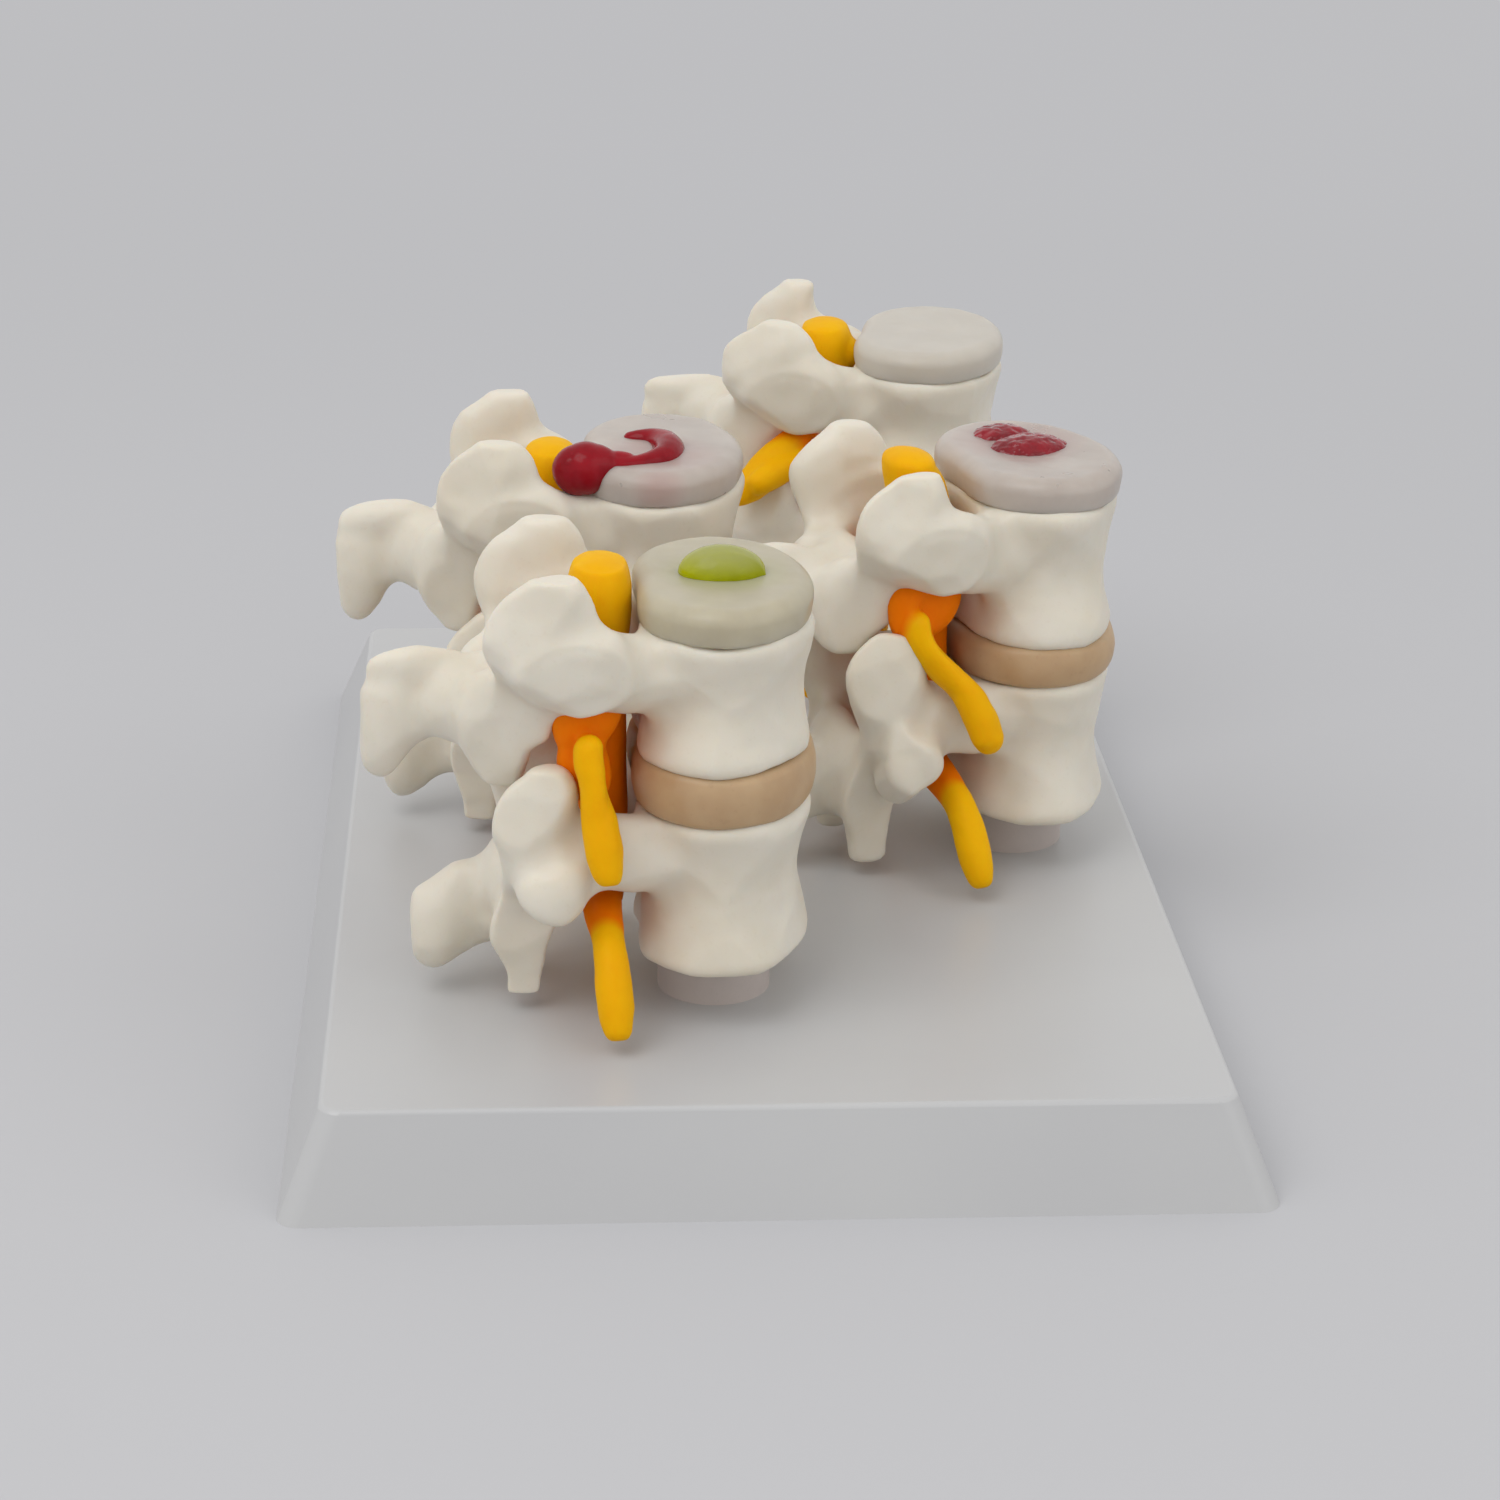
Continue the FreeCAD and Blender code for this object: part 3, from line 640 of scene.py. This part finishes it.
@dataclass
class Casting:
    """A soft-edged moulding that takes its main form from one CAD node."""

    name: str
    node: str
    slot: str
    plan: SegmentPlan
    material: bpy.types.Material
    voxel: float = 0.7
    smoothing: int = 4
    relief: Relief = Relief.GENTLE
    relief_size: float = 9.0
    lumps: tuple[Lump, ...] = ()
    pushes: tuple[Push, ...] = ()
    cuts: tuple[Cut, ...] = ()
    shade: Shade | None = None
    arch_smoothing: int = 0
    swelling: float = 0.0
    fillet: float = 0.0
    scoops: float = 0.0
    scoop_size: float = 12.0
    growth: float = 0.0
    lift: float = 0.0
    piece: bpy.types.Object = field(init=False)

    def copy_form(self) -> bpy.types.Object:
        """Copy the node's mesh and merge its loose triangles.

        Returns:
            A new object with its own mesh.
        """
        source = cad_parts[self.node]
        mesh = source.data.copy()
        mesh.name = self.name
        mesh.materials.clear()
        piece = bpy.data.objects.new(self.name, mesh)
        bpy.context.scene.collection.objects.link(piece)
        select_only(piece)
        bpy.ops.object.mode_set(mode="EDIT")
        bpy.ops.mesh.select_all(action="SELECT")
        bpy.ops.mesh.remove_doubles(threshold=MERGE_DISTANCE)
        bpy.ops.object.mode_set(mode="OBJECT")
        return piece

    def add_lump(self, lump: Lump) -> bpy.types.Object:
        """Model one swelling from a sphere.

        Args:
            lump: its place and size in the segment's frame.

        Returns:
            The swelling's object.
        """
        bpy.ops.object.select_all(action="DESELECT")
        bpy.ops.mesh.primitive_uv_sphere_add(segments=LUMP_SEGMENTS, ring_count=LUMP_RINGS, radius=1.0)
        ball = bpy.context.active_object
        if lump.straight:
            points = read_points(ball)
            end = lump.half_size[0] / lump.half_size[2]
            points[:, 2] = points[:, 2] * end + np.sign(np.round(points[:, 2], 4)) * (1.0 - end)
            write_points(ball, points)
        pitch = Matrix.Rotation(math.radians(lump.pitch), 4, "Y")
        turn = Matrix.Rotation(math.radians(lump.yaw), 4, "Z") @ pitch
        shape = Matrix.Translation(Vector(lump.centre)) @ turn @ Matrix.Diagonal((*lump.half_size, 1.0))
        ball.data.transform(self.plan.matrix() @ shape)
        return ball

    def join(self, extras: list[bpy.types.Object]) -> None:
        """Join the swellings into the casting.

        Args:
            extras: the objects to take in.
        """
        if not extras:
            return
        select_only(self.piece)
        for extra in extras:
            extra.select_set(True)
        bpy.ops.object.join()

    def shove(self) -> None:
        """Move the surface by each of the casting's pushes."""
        if not self.pushes:
            return
        matrix = self.plan.matrix()
        turn = matrix.to_3x3()
        points = read_points(self.piece)
        for push in self.pushes:
            centre = np.array(matrix @ Vector(push.centre))
            move = np.array(turn @ Vector(push.move))
            distance = np.linalg.norm(points - centre, axis=1) / (push.radius * MM)
            weight = np.clip(1.0 - distance**2, 0.0, 1.0) ** 2
            points += weight[:, None] * move
        write_points(self.piece, points)

    def flatten(self) -> None:
        """Draw what stands out past each cut most of the way back to its plane."""
        matrix = self.plan.matrix()
        turn = matrix.to_3x3()
        points = read_points(self.piece)
        for cut in self.cuts:
            normal = np.array((turn @ Vector(cut.normal)).normalized())
            apart = points - np.array(matrix @ Vector(cut.point))
            rise = np.clip(apart @ normal, 0.0, None)
            distance = np.linalg.norm(apart, axis=1) / (cut.radius * MM)
            near = np.clip((CUT_REACH - distance) / CUT_BLEND, 0.0, 1.0)
            points -= (CUT_SHARE * near * rise)[:, None] * normal
        write_points(self.piece, points)

    def fill_creases(self) -> None:
        """Round out the hollow corners: swell the casting, mesh it anew and shrink it back."""
        thicken(self.piece, self.fillet)
        mesh_anew(self.piece, self.voxel)
        smooth(self.piece, CREASE_ROUNDS)
        thicken(self.piece, -self.fillet)
        mesh_anew(self.piece, self.voxel)

    def grow_body(self) -> None:
        """Make the body taller at both rims, the arch behind it staying as it is."""
        points = read_points(self.piece)
        own = self.own_points()
        front = np.clip((own[:, 0] - ARCH_START) / ARCH_BLEND + 1.0, 0.0, 1.0)
        from_middle = (own[:, 2] - UPPER_MIDDLE_Z) / (UPPER_BODY_HEIGHT / 2)
        points[:, 2] += front * from_middle * self.growth * MM
        write_points(self.piece, points)

    def own_points(self) -> np.ndarray:
        """Read the vertices in the segment's own frame.

        Returns:
            One row per vertex, in millimetres.
        """
        turn_back = np.array(self.plan.matrix().inverted())
        return read_points(self.piece) @ turn_back[:3, :3].T + turn_back[:3, 3]

    def soften_arch(self) -> None:
        """Melt the limbs behind the body into each other and leave the body crisp."""
        behind = np.clip((ARCH_START - self.own_points()[:, 0]) / ARCH_BLEND, 0.0, 1.0)
        group = self.piece.vertex_groups.new(name="arch")
        for weight in ARCH_WEIGHTS:
            members = np.flatnonzero((behind > weight - ARCH_WEIGHT_STEP) & (behind <= weight))
            group.add(members.tolist(), weight, "REPLACE")
        smooth(self.piece, self.arch_smoothing, vertex_group="arch")
        thicken(self.piece, self.swelling, vertex_group="arch")

    def paint(self) -> None:
        """Mark where the material's second colour goes: painted shade in hollows, in the canal and on the
        dome's top, and a painted reflection of the cord near the nerve openings.
        """
        # Painted shade in the hollows, and a painted orange reflection of the cord near the nerve openings.
        if self.shade is Shade.HOLLOWS:
            own = self.own_points()
            own[:, 1] = np.abs(own[:, 1])
            shade = hollow_shade_mask(self.piece)
            # Painted reflection: the cord's orange on the bone near the nerve openings.
            for u, v, w, radius in NERVE_REFLECTION_PLACES:
                apart = np.linalg.norm(own - np.array((u, v, w)), axis=1) / radius
                shade = np.maximum(shade, np.clip(NERVE_REFLECTION_STRENGTH * (1.0 - apart**2), 0.0, 1.0))
            write_shade(self.piece, shade)
        # Painted shade: a deeper orange on the cord inside the canal.
        elif self.shade is Shade.CANAL:
            side = np.abs(self.own_points()[:, 1])
            height = self.own_points()[:, 2]
            deep = np.clip((CANAL_HALF_WIDTH - side) / CANAL_BLEND, 0.0, 1.0)
            low = np.clip((CANAL_TOP_Z - height) / CANAL_TOP_BLEND, 0.0, 1.0)
            write_shade(self.piece, deep * low)
        # Painted shade: the top of the green dome darker.
        elif self.shade is Shade.CROWN:
            write_shade(self.piece, np.clip((self.own_points()[:, 2] - CROWN_Z) / CROWN_BLEND, 0.0, 1.0))

    def undulate(self) -> None:
        """Give the skin the soft unevenness of a cast piece."""
        clouds = bpy.data.textures.new(self.name + " relief", "CLOUDS")
        clouds.noise_scale = self.relief_size * MM
        clouds.noise_depth = 2
        displace(self.piece, clouds, self.relief.value * 2.0)
        if self.scoops:
            cells = bpy.data.textures.new(self.name + " scoops", "VORONOI")
            cells.noise_scale = self.scoop_size * MM
            displace(self.piece, cells, self.scoops)
            smooth(self.piece, SCOOP_ROUNDS)

    def hold_inside(self) -> None:
        """Keep the casting's top inside the model's height."""
        points = read_points(self.piece)
        points[:, 2] = np.minimum(points[:, 2], CAD_BOX[1].z)
        write_points(self.piece, points)

    def build(self) -> bpy.types.Object:
        """Model the casting, dress it and let it stand for its node.

        Returns:
            The finished piece.
        """
        self.piece = self.copy_form()
        self.join([self.add_lump(lump) for lump in self.lumps])
        mesh_anew(self.piece, self.voxel)
        self.shove()
        if self.fillet:
            self.fill_creases()
        if self.cuts:
            self.flatten()
        if self.growth:
            self.grow_body()
        if self.lift:
            write_points(self.piece, read_points(self.piece) + np.array((0.0, 0.0, self.lift * MM)))
        smooth(self.piece, self.smoothing)
        if self.arch_smoothing:
            self.soften_arch()
        elif self.swelling:
            thicken(self.piece, self.swelling)
        self.undulate()
        self.hold_inside()
        self.paint()
        select_only(self.piece)
        bpy.ops.object.shade_smooth()
        self.piece.data.materials.clear()
        self.piece.data.materials.append(self.material)
        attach(self.piece, "root")
        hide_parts(self.node)
        LOG.info("%s: %d faces", self.name, len(self.piece.data.polygons))
        return self.piece


@dataclass
class Cushion:
    """A soft kidney-shaped disc between two faces, its edges rounded over."""

    name: str
    node: str
    slot: str
    plan: SegmentPlan
    material: bpy.types.Material
    bottom: float
    height: float
    scale: float
    bulge: float
    rounding: float
    foot_rounding: float = 1.6
    swell: float = 1.0
    dish: float = 0.0
    relief: Relief = Relief.CALM
    relief_size: float = 7.0
    stains: tuple[Stain, ...] = ()

    def outline(self, angle: np.ndarray) -> np.ndarray:
        """Kidney outline seen from above.

        Args:
            angle: directions round the disc, in radians.

        Returns:
            One point in the segment's frame per direction, in millimetres.
        """
        front = np.cos(angle) * BODY_DEPTH / 2
        side = np.sin(angle) * BODY_WIDTH / 2
        hollow = BACK_HOLLOW * np.exp(-((side / BACK_HOLLOW_SPREAD) ** 2))
        front = np.where(front < 0, front + hollow, front * self.swell)
        return np.stack((front, side), axis=1) * self.scale

    def shape(self, ball: np.ndarray) -> np.ndarray:
        """Turn a unit ball's points into the cushion.

        Args:
            ball: one row per vertex on a unit sphere.

        Returns:
            One row per vertex in the segment's frame, in millimetres.
        """
        edge = self.outline(np.arctan2(ball[:, 1], ball[:, 0]))
        reach = np.linalg.norm(edge, axis=1)
        share = np.arccos(np.clip(np.abs(ball[:, 2]), 0.0, 1.0)) / (math.pi / 2)
        flat = np.clip(share / TOP_SHARE, 0.0, 1.0)
        turn = np.clip((share - TOP_SHARE) / EDGE_SHARE, 0.0, 1.0) * math.pi / 2
        wall = np.clip((share - TOP_SHARE - EDGE_SHARE) / WALL_SHARE, 0.0, 1.0)
        half = self.height / 2
        upper = ball[:, 2] > 0
        rounding = np.where(upper, self.rounding, self.foot_rounding)
        radius = flat * (reach - rounding) + rounding * np.sin(turn)
        level = half - rounding * (1 - np.cos(turn)) - wall * (half - rounding)
        radius += self.bulge * (1 - (level / half) ** 2)
        level = np.where(upper, level - self.dish * (1 - (radius / reach) ** 2).clip(0.0) ** 2, -level)
        plan = edge / reach[:, None] * radius[:, None]
        return np.column_stack((plan, level + self.bottom + half))

    def build(self) -> bpy.types.Object:
        """Model the cushion, dress it and let it stand for its node.

        Returns:
            The finished piece.
        """
        bpy.ops.object.select_all(action="DESELECT")
        bpy.ops.mesh.primitive_uv_sphere_add(segments=CUSHION_SEGMENTS, ring_count=CUSHION_RINGS, radius=1.0)
        piece = bpy.context.active_object
        piece.name = self.name
        points = self.shape(read_points(piece))
        matrix = np.array(self.plan.matrix())
        write_points(piece, points @ matrix[:3, :3].T + matrix[:3, 3])
        clouds = bpy.data.textures.new(self.name + " relief", "CLOUDS")
        clouds.noise_scale = self.relief_size * MM
        displace(piece, clouds, self.relief.value * 2.0)
        shade = np.zeros(len(points))
        for u, v, w, radius in self.stains:
            apart = np.linalg.norm(points - np.array((u, v, w)), axis=1) / radius
            shade = np.maximum(shade, np.clip(1.0 - apart**2, 0.0, 1.0))
        write_shade(piece, shade)
        select_only(piece)
        bpy.ops.object.shade_smooth()
        piece.data.materials.append(self.material)
        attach(piece, "root")
        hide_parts(self.node)
        LOG.info("%s: %d faces", self.name, len(piece.data.polygons))
        return piece


@dataclass
class MotionSegment:
    """Two vertebrae, two discs, a nerve cord and a nucleus where there is one."""

    plan: SegmentPlan
    palette: Palette
    nucleus: bpy.types.Material | None
    clear: bpy.types.Material
    swell: float = 1.0
    stains: tuple[Stain, ...] = ()
    growth: float = 0.0
    dish: float = 0.0
    core_lift: float = 0.0
    core_smoothing: int = 4
    core_fillet: float = 0.0
    core_relief: Relief = Relief.CALM
    core_relief_size: float = 4.0
    core_lumps: tuple[Lump, ...] = ()
    upper_lumps: tuple[Lump, ...] = ()
    lower_lumps: tuple[Lump, ...] = ()
    cord_lumps: tuple[Lump, ...] = ()
    upper_pushes: tuple[Push, ...] = ()
    lower_pushes: tuple[Push, ...] = ()
    cord_pushes: tuple[Push, ...] = ()

    def vertebra(self, level: Level) -> bpy.types.Object:
        """Cast one vertebra.

        Args:
            level: the upper or the lower one.

        Returns:
            The vertebra's piece.
        """
        upper = level is Level.UPPER
        name = ("upper_bone_" if upper else "lower_bone_") + self.plan.name
        return Casting(
            name, f"{level.value}_{self.plan.name}", "bone_plastic", self.plan, self.palette.bone,
            voxel=0.65, smoothing=4, relief=Relief.LIVELY, relief_size=13.0,
            lumps=(UPPER_BLENDS + self.upper_lumps) if upper else (LOWER_BLENDS + self.lower_lumps),
            pushes=(UPPER_PUSHES + self.upper_pushes) if upper else self.lower_pushes,
            cuts=UPPER_CUTS if upper else LOWER_CUTS,
            shade=Shade.HOLLOWS, arch_smoothing=5, swelling=0.1, fillet=3.0, scoops=1.8, scoop_size=14.0,
            growth=self.growth if upper else 0.0,
        ).build()

    def discs(self) -> None:
        """Mould the tan disc between the vertebrae and the milky one on top."""
        place = self.plan.name
        Cushion(
            "between_disc_" + place, "middle_disc_" + place, "disc_tan", self.plan, self.palette.tan_disc,
            bottom=MIDDLE_DISC_Z - MIDDLE_DISC_SEAT,
            height=MIDDLE_DISC_HEIGHT + 2 * MIDDLE_DISC_SEAT - self.growth,
            scale=0.985, bulge=1.4, rounding=1.6, relief=Relief.GENTLE,
        ).build()
        Cushion(
            "clear_disc_" + place, "top_disc_" + place, "disc_clear", self.plan, self.clear,
            bottom=TOP_DISC_Z - TOP_DISC_SEAT + self.growth, height=TOP_DISC_HEIGHT + TOP_DISC_SEAT,
            scale=0.975, bulge=0.5, rounding=3.0, foot_rounding=0.7, swell=self.swell, dish=self.dish,
            relief=Relief.GENTLE, stains=self.stains,
        ).build()

    def cord(self) -> None:
        """Mould the nerve cord with its roots."""
        place = self.plan.name
        Casting(
            "nerve_" + place, "nerve_cord_" + place, "nerve_yellow", self.plan, self.palette.nerve,
            voxel=0.5, smoothing=6, relief=Relief.GENTLE, relief_size=6.0,
            lumps=self.cord_lumps, pushes=self.cord_pushes, shade=Shade.CANAL, swelling=-0.2,
        ).build()

    def core(self) -> None:
        """Mould the nucleus of the top disc, if the segment has one."""
        if self.nucleus is None:
            return
        place = self.plan.name
        slot = "nucleus_green" if self.plan is FRONT else "nucleus_red"
        Casting(
            "core_" + place, "nucleus_" + place, slot, self.plan, self.nucleus,
            voxel=0.3, smoothing=self.core_smoothing, relief=self.core_relief,
            relief_size=self.core_relief_size, lumps=self.core_lumps, fillet=self.core_fillet,
            shade=Shade.CROWN if self.plan is FRONT else None, lift=self.core_lift,
        ).build()

    def build(self) -> None:
        """Mould every piece of the segment."""
        self.vertebra(Level.LOWER)
        self.vertebra(Level.UPPER)
        self.discs()
        self.cord()
        self.core()
        LOG.info("segment %s is complete", self.plan.name)


@dataclass
class Stand:
    """The tray with its posts and screws, which keep their CAD form."""

    palette: Palette

    def dress(self, node: str, material: bpy.types.Material) -> None:
        """Give a node its finish.

        Args:
            node: the node's name.
            material: what it is made of.
        """
        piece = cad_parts[node]
        piece.data.materials.clear()
        piece.data.materials.append(material)
        LOG.info("%s is dressed", node)

    def build(self) -> None:
        """Dress the tray, the posts and the screws."""
        self.dress("tray", self.palette.tray)
        self.dress("screws", self.palette.screw)
        for plan in (FRONT, RIGHT, LEFT, REAR):
            self.dress("post_" + plan.name, self.palette.post)


@dataclass
class Studio:
    """Pale sweep, soft lamps and the camera."""

    backdrop: Triple = (0.52, 0.52, 0.535)
    floor_size: float = 6.0
    floor_swing: float = 0.985
    glow_start: float = 0.22
    glow_end: float = 0.75
    ambient: float = 0.80
    camera_place: Triple = (-44.47, -711.01, 317.78)
    yaw: float = 0.0645
    pitch: float = 0.3757
    roll: float = 0.0153
    lens: float = 88.18

    def sweep(self) -> None:
        """Lay a wide floor that curves up into a backdrop."""
        bpy.ops.object.select_all(action="DESELECT")
        bpy.ops.mesh.primitive_plane_add(size=self.floor_size, location=(0.0, 0.0, 0.0))
        floor = bpy.context.active_object
        floor.name = "studio_floor"
        material = bpy.data.materials.new("studio grey")
        material.use_nodes = True
        nodes = NodeTree(material.node_tree)
        shader = material.node_tree.nodes["Principled BSDF"]
        place = nodes.add("ShaderNodeTexCoord")
        noise = nodes.add("ShaderNodeTexNoise")
        noise.inputs["Scale"].default_value = 1.2
        nodes.link(place.outputs["Object"], noise.inputs["Vector"])
        darker = tuple(part * self.floor_swing for part in self.backdrop)
        tone = nodes.ramp(noise.outputs["Fac"], [(0.3, darker), (0.7, self.backdrop)])
        nodes.link(tone.outputs["Color"], shader.inputs["Base Color"])
        shader.inputs["Roughness"].default_value = 0.9
        shader.inputs["Specular IOR Level"].default_value = 0.1
        reach = nodes.add("ShaderNodeVectorMath", operation="LENGTH")
        nodes.link(place.outputs["Object"], reach.inputs[0])
        far = nodes.add("ShaderNodeMapRange", interpolation_type="SMOOTHSTEP")
        far.inputs["From Min"].default_value = self.glow_start
        far.inputs["From Max"].default_value = self.glow_end
        nodes.link(reach.outputs["Value"], far.inputs["Value"])
        path = nodes.add("ShaderNodeLightPath")
        seen = nodes.add("ShaderNodeMath", operation="MULTIPLY")
        nodes.link(path.outputs["Is Camera Ray"], seen.inputs[0])
        nodes.link(far.outputs["Result"], seen.inputs[1])
        glow = nodes.add("ShaderNodeEmission")
        nodes.link(tone.outputs["Color"], glow.inputs["Color"])
        mix = nodes.add("ShaderNodeMixShader")
        nodes.link(seen.outputs["Value"], mix.inputs["Fac"])
        nodes.link(shader.outputs["BSDF"], mix.inputs[1])
        nodes.link(glow.outputs["Emission"], mix.inputs[2])
        nodes.link(mix.outputs["Shader"], material.node_tree.nodes["Material Output"].inputs["Surface"])
        floor.data.materials.append(material)

    def world(self) -> None:
        """Fill the room with even, slightly cool light."""
        world = bpy.data.worlds.new("studio")
        bpy.context.scene.world = world
        world.use_nodes = True
        nodes = NodeTree(world.node_tree)
        background = world.node_tree.nodes["Background"]
        background.inputs["Color"].default_value = (1.0, 1.0, 1.0, 1.0)
        background.inputs["Strength"].default_value = self.ambient
        seen = nodes.add("ShaderNodeBackground")
        seen.inputs["Color"].default_value = (*self.backdrop, 1.0)
        path = nodes.add("ShaderNodeLightPath")
        direct = nodes.add("ShaderNodeMath", operation="MAXIMUM")
        nodes.link(path.outputs["Is Camera Ray"], direct.inputs[0])
        nodes.link(path.outputs["Is Transmission Ray"], direct.inputs[1])
        mix = nodes.add("ShaderNodeMixShader")
        nodes.link(direct.outputs["Value"], mix.inputs["Fac"])
        nodes.link(background.outputs["Background"], mix.inputs[1])
        nodes.link(seen.outputs["Background"], mix.inputs[2])
        nodes.link(mix.outputs["Shader"], world.node_tree.nodes["World Output"].inputs["Surface"])

    def lamp(self, name: str, place: Triple, size: float, power: float) -> None:
        """Hang one soft box that faces the model.

        Args:
            name: the lamp's name.
            place: where it hangs, in metres.
            size: the side of its square face, in metres.
            power: its power in watts.
        """
        light = bpy.data.lights.new(name, "AREA")
        light.size = size
        light.energy = power
        lamp = bpy.data.objects.new(name, light)
        lamp.location = place
        lamp.rotation_euler = (Vector((0.0, 0.0, 0.05)) - Vector(place)).to_track_quat("-Z", "Y").to_euler()
        bpy.context.scene.collection.objects.link(lamp)

    def camera(self) -> None:
        """Set the camera at the photograph's viewing angle."""
        forward = Vector((
            math.sin(self.yaw) * math.cos(self.pitch),
            math.cos(self.yaw) * math.cos(self.pitch),
            -math.sin(self.pitch),
        ))
        level = Vector((math.cos(self.yaw), -math.sin(self.yaw), 0.0))
        above = level.cross(forward)
        right = level * math.cos(self.roll) + above * math.sin(self.roll)
        top = above * math.cos(self.roll) - level * math.sin(self.roll)
        data = bpy.data.cameras.new("camera")
        data.lens = self.lens
        data.sensor_width = 36.0
        camera = bpy.data.objects.new("camera", data)
        turn = Matrix((right, top, -forward)).transposed().to_4x4()
        camera.matrix_world = Matrix.Translation(Vector(self.camera_place) * MM) @ turn
        bpy.context.scene.collection.objects.link(camera)
        bpy.context.scene.camera = camera

    def build(self) -> None:
        """Set up the room."""
        bpy.context.scene.view_settings.view_transform = "Standard"
        self.sweep()
        self.world()
        self.lamp("key_lamp", (-0.7, -0.6, 1.5), 1.1, 9.0)
        self.lamp("fill_lamp", (1.2, -0.9, 1.1), 1.2, 3.0)
        self.camera()
        LOG.info("the studio is lit")


def motion_segments(palette: Palette) -> list[MotionSegment]:
    """List the four segments with the ways in which each cast differs.

    Args:
        palette: the materials.

    Returns:
        The segments, from the front one to the rear one.
    """
    front = MotionSegment(
        FRONT, palette, palette.green, palette.green_disc, stains=((1.0, 0.0, 101.5, 13.0),),
        core_fillet=2.2, core_smoothing=14,
        core_lumps=(Lump((0.7, 0.3, 101.4), (8.2, 6.0, 5.0)),),
        cord_lumps=(
            Lump((-24.4, -13.5, 78.5), (7.2, 4.4, 8.0)),
            Lump((-24.2, -14.0, 70.0), (6.0, 3.8, 8.0)),
            Lump.rod((-21.8, -20.4, 75.0), (-20.6, -24.8, 60.0), 3.1),
            Lump((-21.7, 0.0, 102.6), (5.2, 7.7, 2.4)),
        ),
        cord_pushes=(
            Push((-21.0, -19.0, 73.0), (-3.8, 0.0, 0.0), 13.0),
            Push((-21.0, -22.5, 64.0), (-2.2, 0.0, 0.0), 9.0),
            Push((-20.5, -26.5, 57.0), (-2.2, 0.0, 0.0), 13.0),
        ),
        upper_lumps=(Lump((-29.0, -18.0, 102.6), (4.8, 4.6, 5.2)),),
        lower_lumps=(Lump((-31.0, -22.3, 48.5), (7.2, 3.4, 4.6), pitch=-39.0),),
    )
    right = MotionSegment(
        RIGHT, palette, palette.wet_red, palette.rose_disc, swell=1.06, growth=1.6, dish=0.9, core_lift=0.6,
        stains=((1.0, 6.0, 102.5, 15.0),), core_relief=Relief.LIVELY, core_relief_size=2.0,
        cord_lumps=(
            Lump((-28.0, -13.8, 78.0), (7.5, 4.6, 7.0)),
            Lump((-22.0, -12.5, 76.0), (7.0, 4.6, 7.0)),
            Lump.rod((-24.6, -18.8, 74.5), (-20.9, -26.2, 52.5), 3.7),
            Lump((-25.5, 0.0, 103.0), (5.2, 7.7, 2.6)),
        ),
        cord_pushes=(
            Push((-22.0, -17.0, 73.0), (-8.0, 0.0, 0.0), 15.0),
            Push((-22.5, -27.0, 53.0), (3.8, 0.0, 0.0), 14.0),
        ),
        upper_pushes=(
            Push((-24.0, -18.5, 101.0), (-2.5, 0.0, -1.5), 7.0),
            Push((-40.5, -10.0, 66.0), (-2.5, 0.0, 4.5), 10.0),
        ),
        lower_lumps=(Lump((-34.6, -23.2, 44.6), (4.3, 3.5, 10.0)),),
        lower_pushes=(Push((-35.0, -18.5, 66.0), (-4.5, 0.0, 3.5), 15.0),),
    )
    left = MotionSegment(
        LEFT, palette, palette.red, palette.rose_disc,
        stains=((0.0, -8.0, 101.5, 14.0), (1.0, -22.5, 98.5, 6.0)),
        core_lumps=(
            Lump((-13.2, -14.4, 100.6), (6.4, 4.8, 4.7)),
            Lump((-15.6, -14.6, 99.9), (5.2, 5.0, 5.2)),
            Lump((-7.8, -13.6, 101.2), (4.5, 2.8, 2.4)),
        ),
        cord_lumps=(Lump((-21.7, 0.0, 99.4), (5.2, 7.7, 2.4)),),
        upper_pushes=(Push((-23.5, 18.5, 101.0), (-2.0, 0.0, 0.0), 9.0),),
    )
    rear = MotionSegment(
        REAR, palette, None, palette.plain_disc,
        cord_lumps=(
            Lump((-32.0, -20.5, 73.5), (4.6, 4.6, 13.0), pitch=54.8, yaw=42.9),
            Lump((-17.5, 0.0, 95.0), (3.2, 5.0, 3.6)),
            Lump((-23.2, 0.0, 100.4), (5.2, 7.7, 2.4)),
        ),
        upper_pushes=(Push((-23.5, 18.5, 101.0), (-4.5, 0.0, 0.0), 9.0),),
    )
    return [front, right, left, rear]


def main() -> None:
    """Build the model and its studio."""
    logging.basicConfig(level=logging.INFO, format="%(name)s: %(message)s")
    Studio().build()
    palette = Palette()
    Stand(palette).build()
    for segment in motion_segments(palette):
        segment.build()


if __name__ == "__main__":
    main()
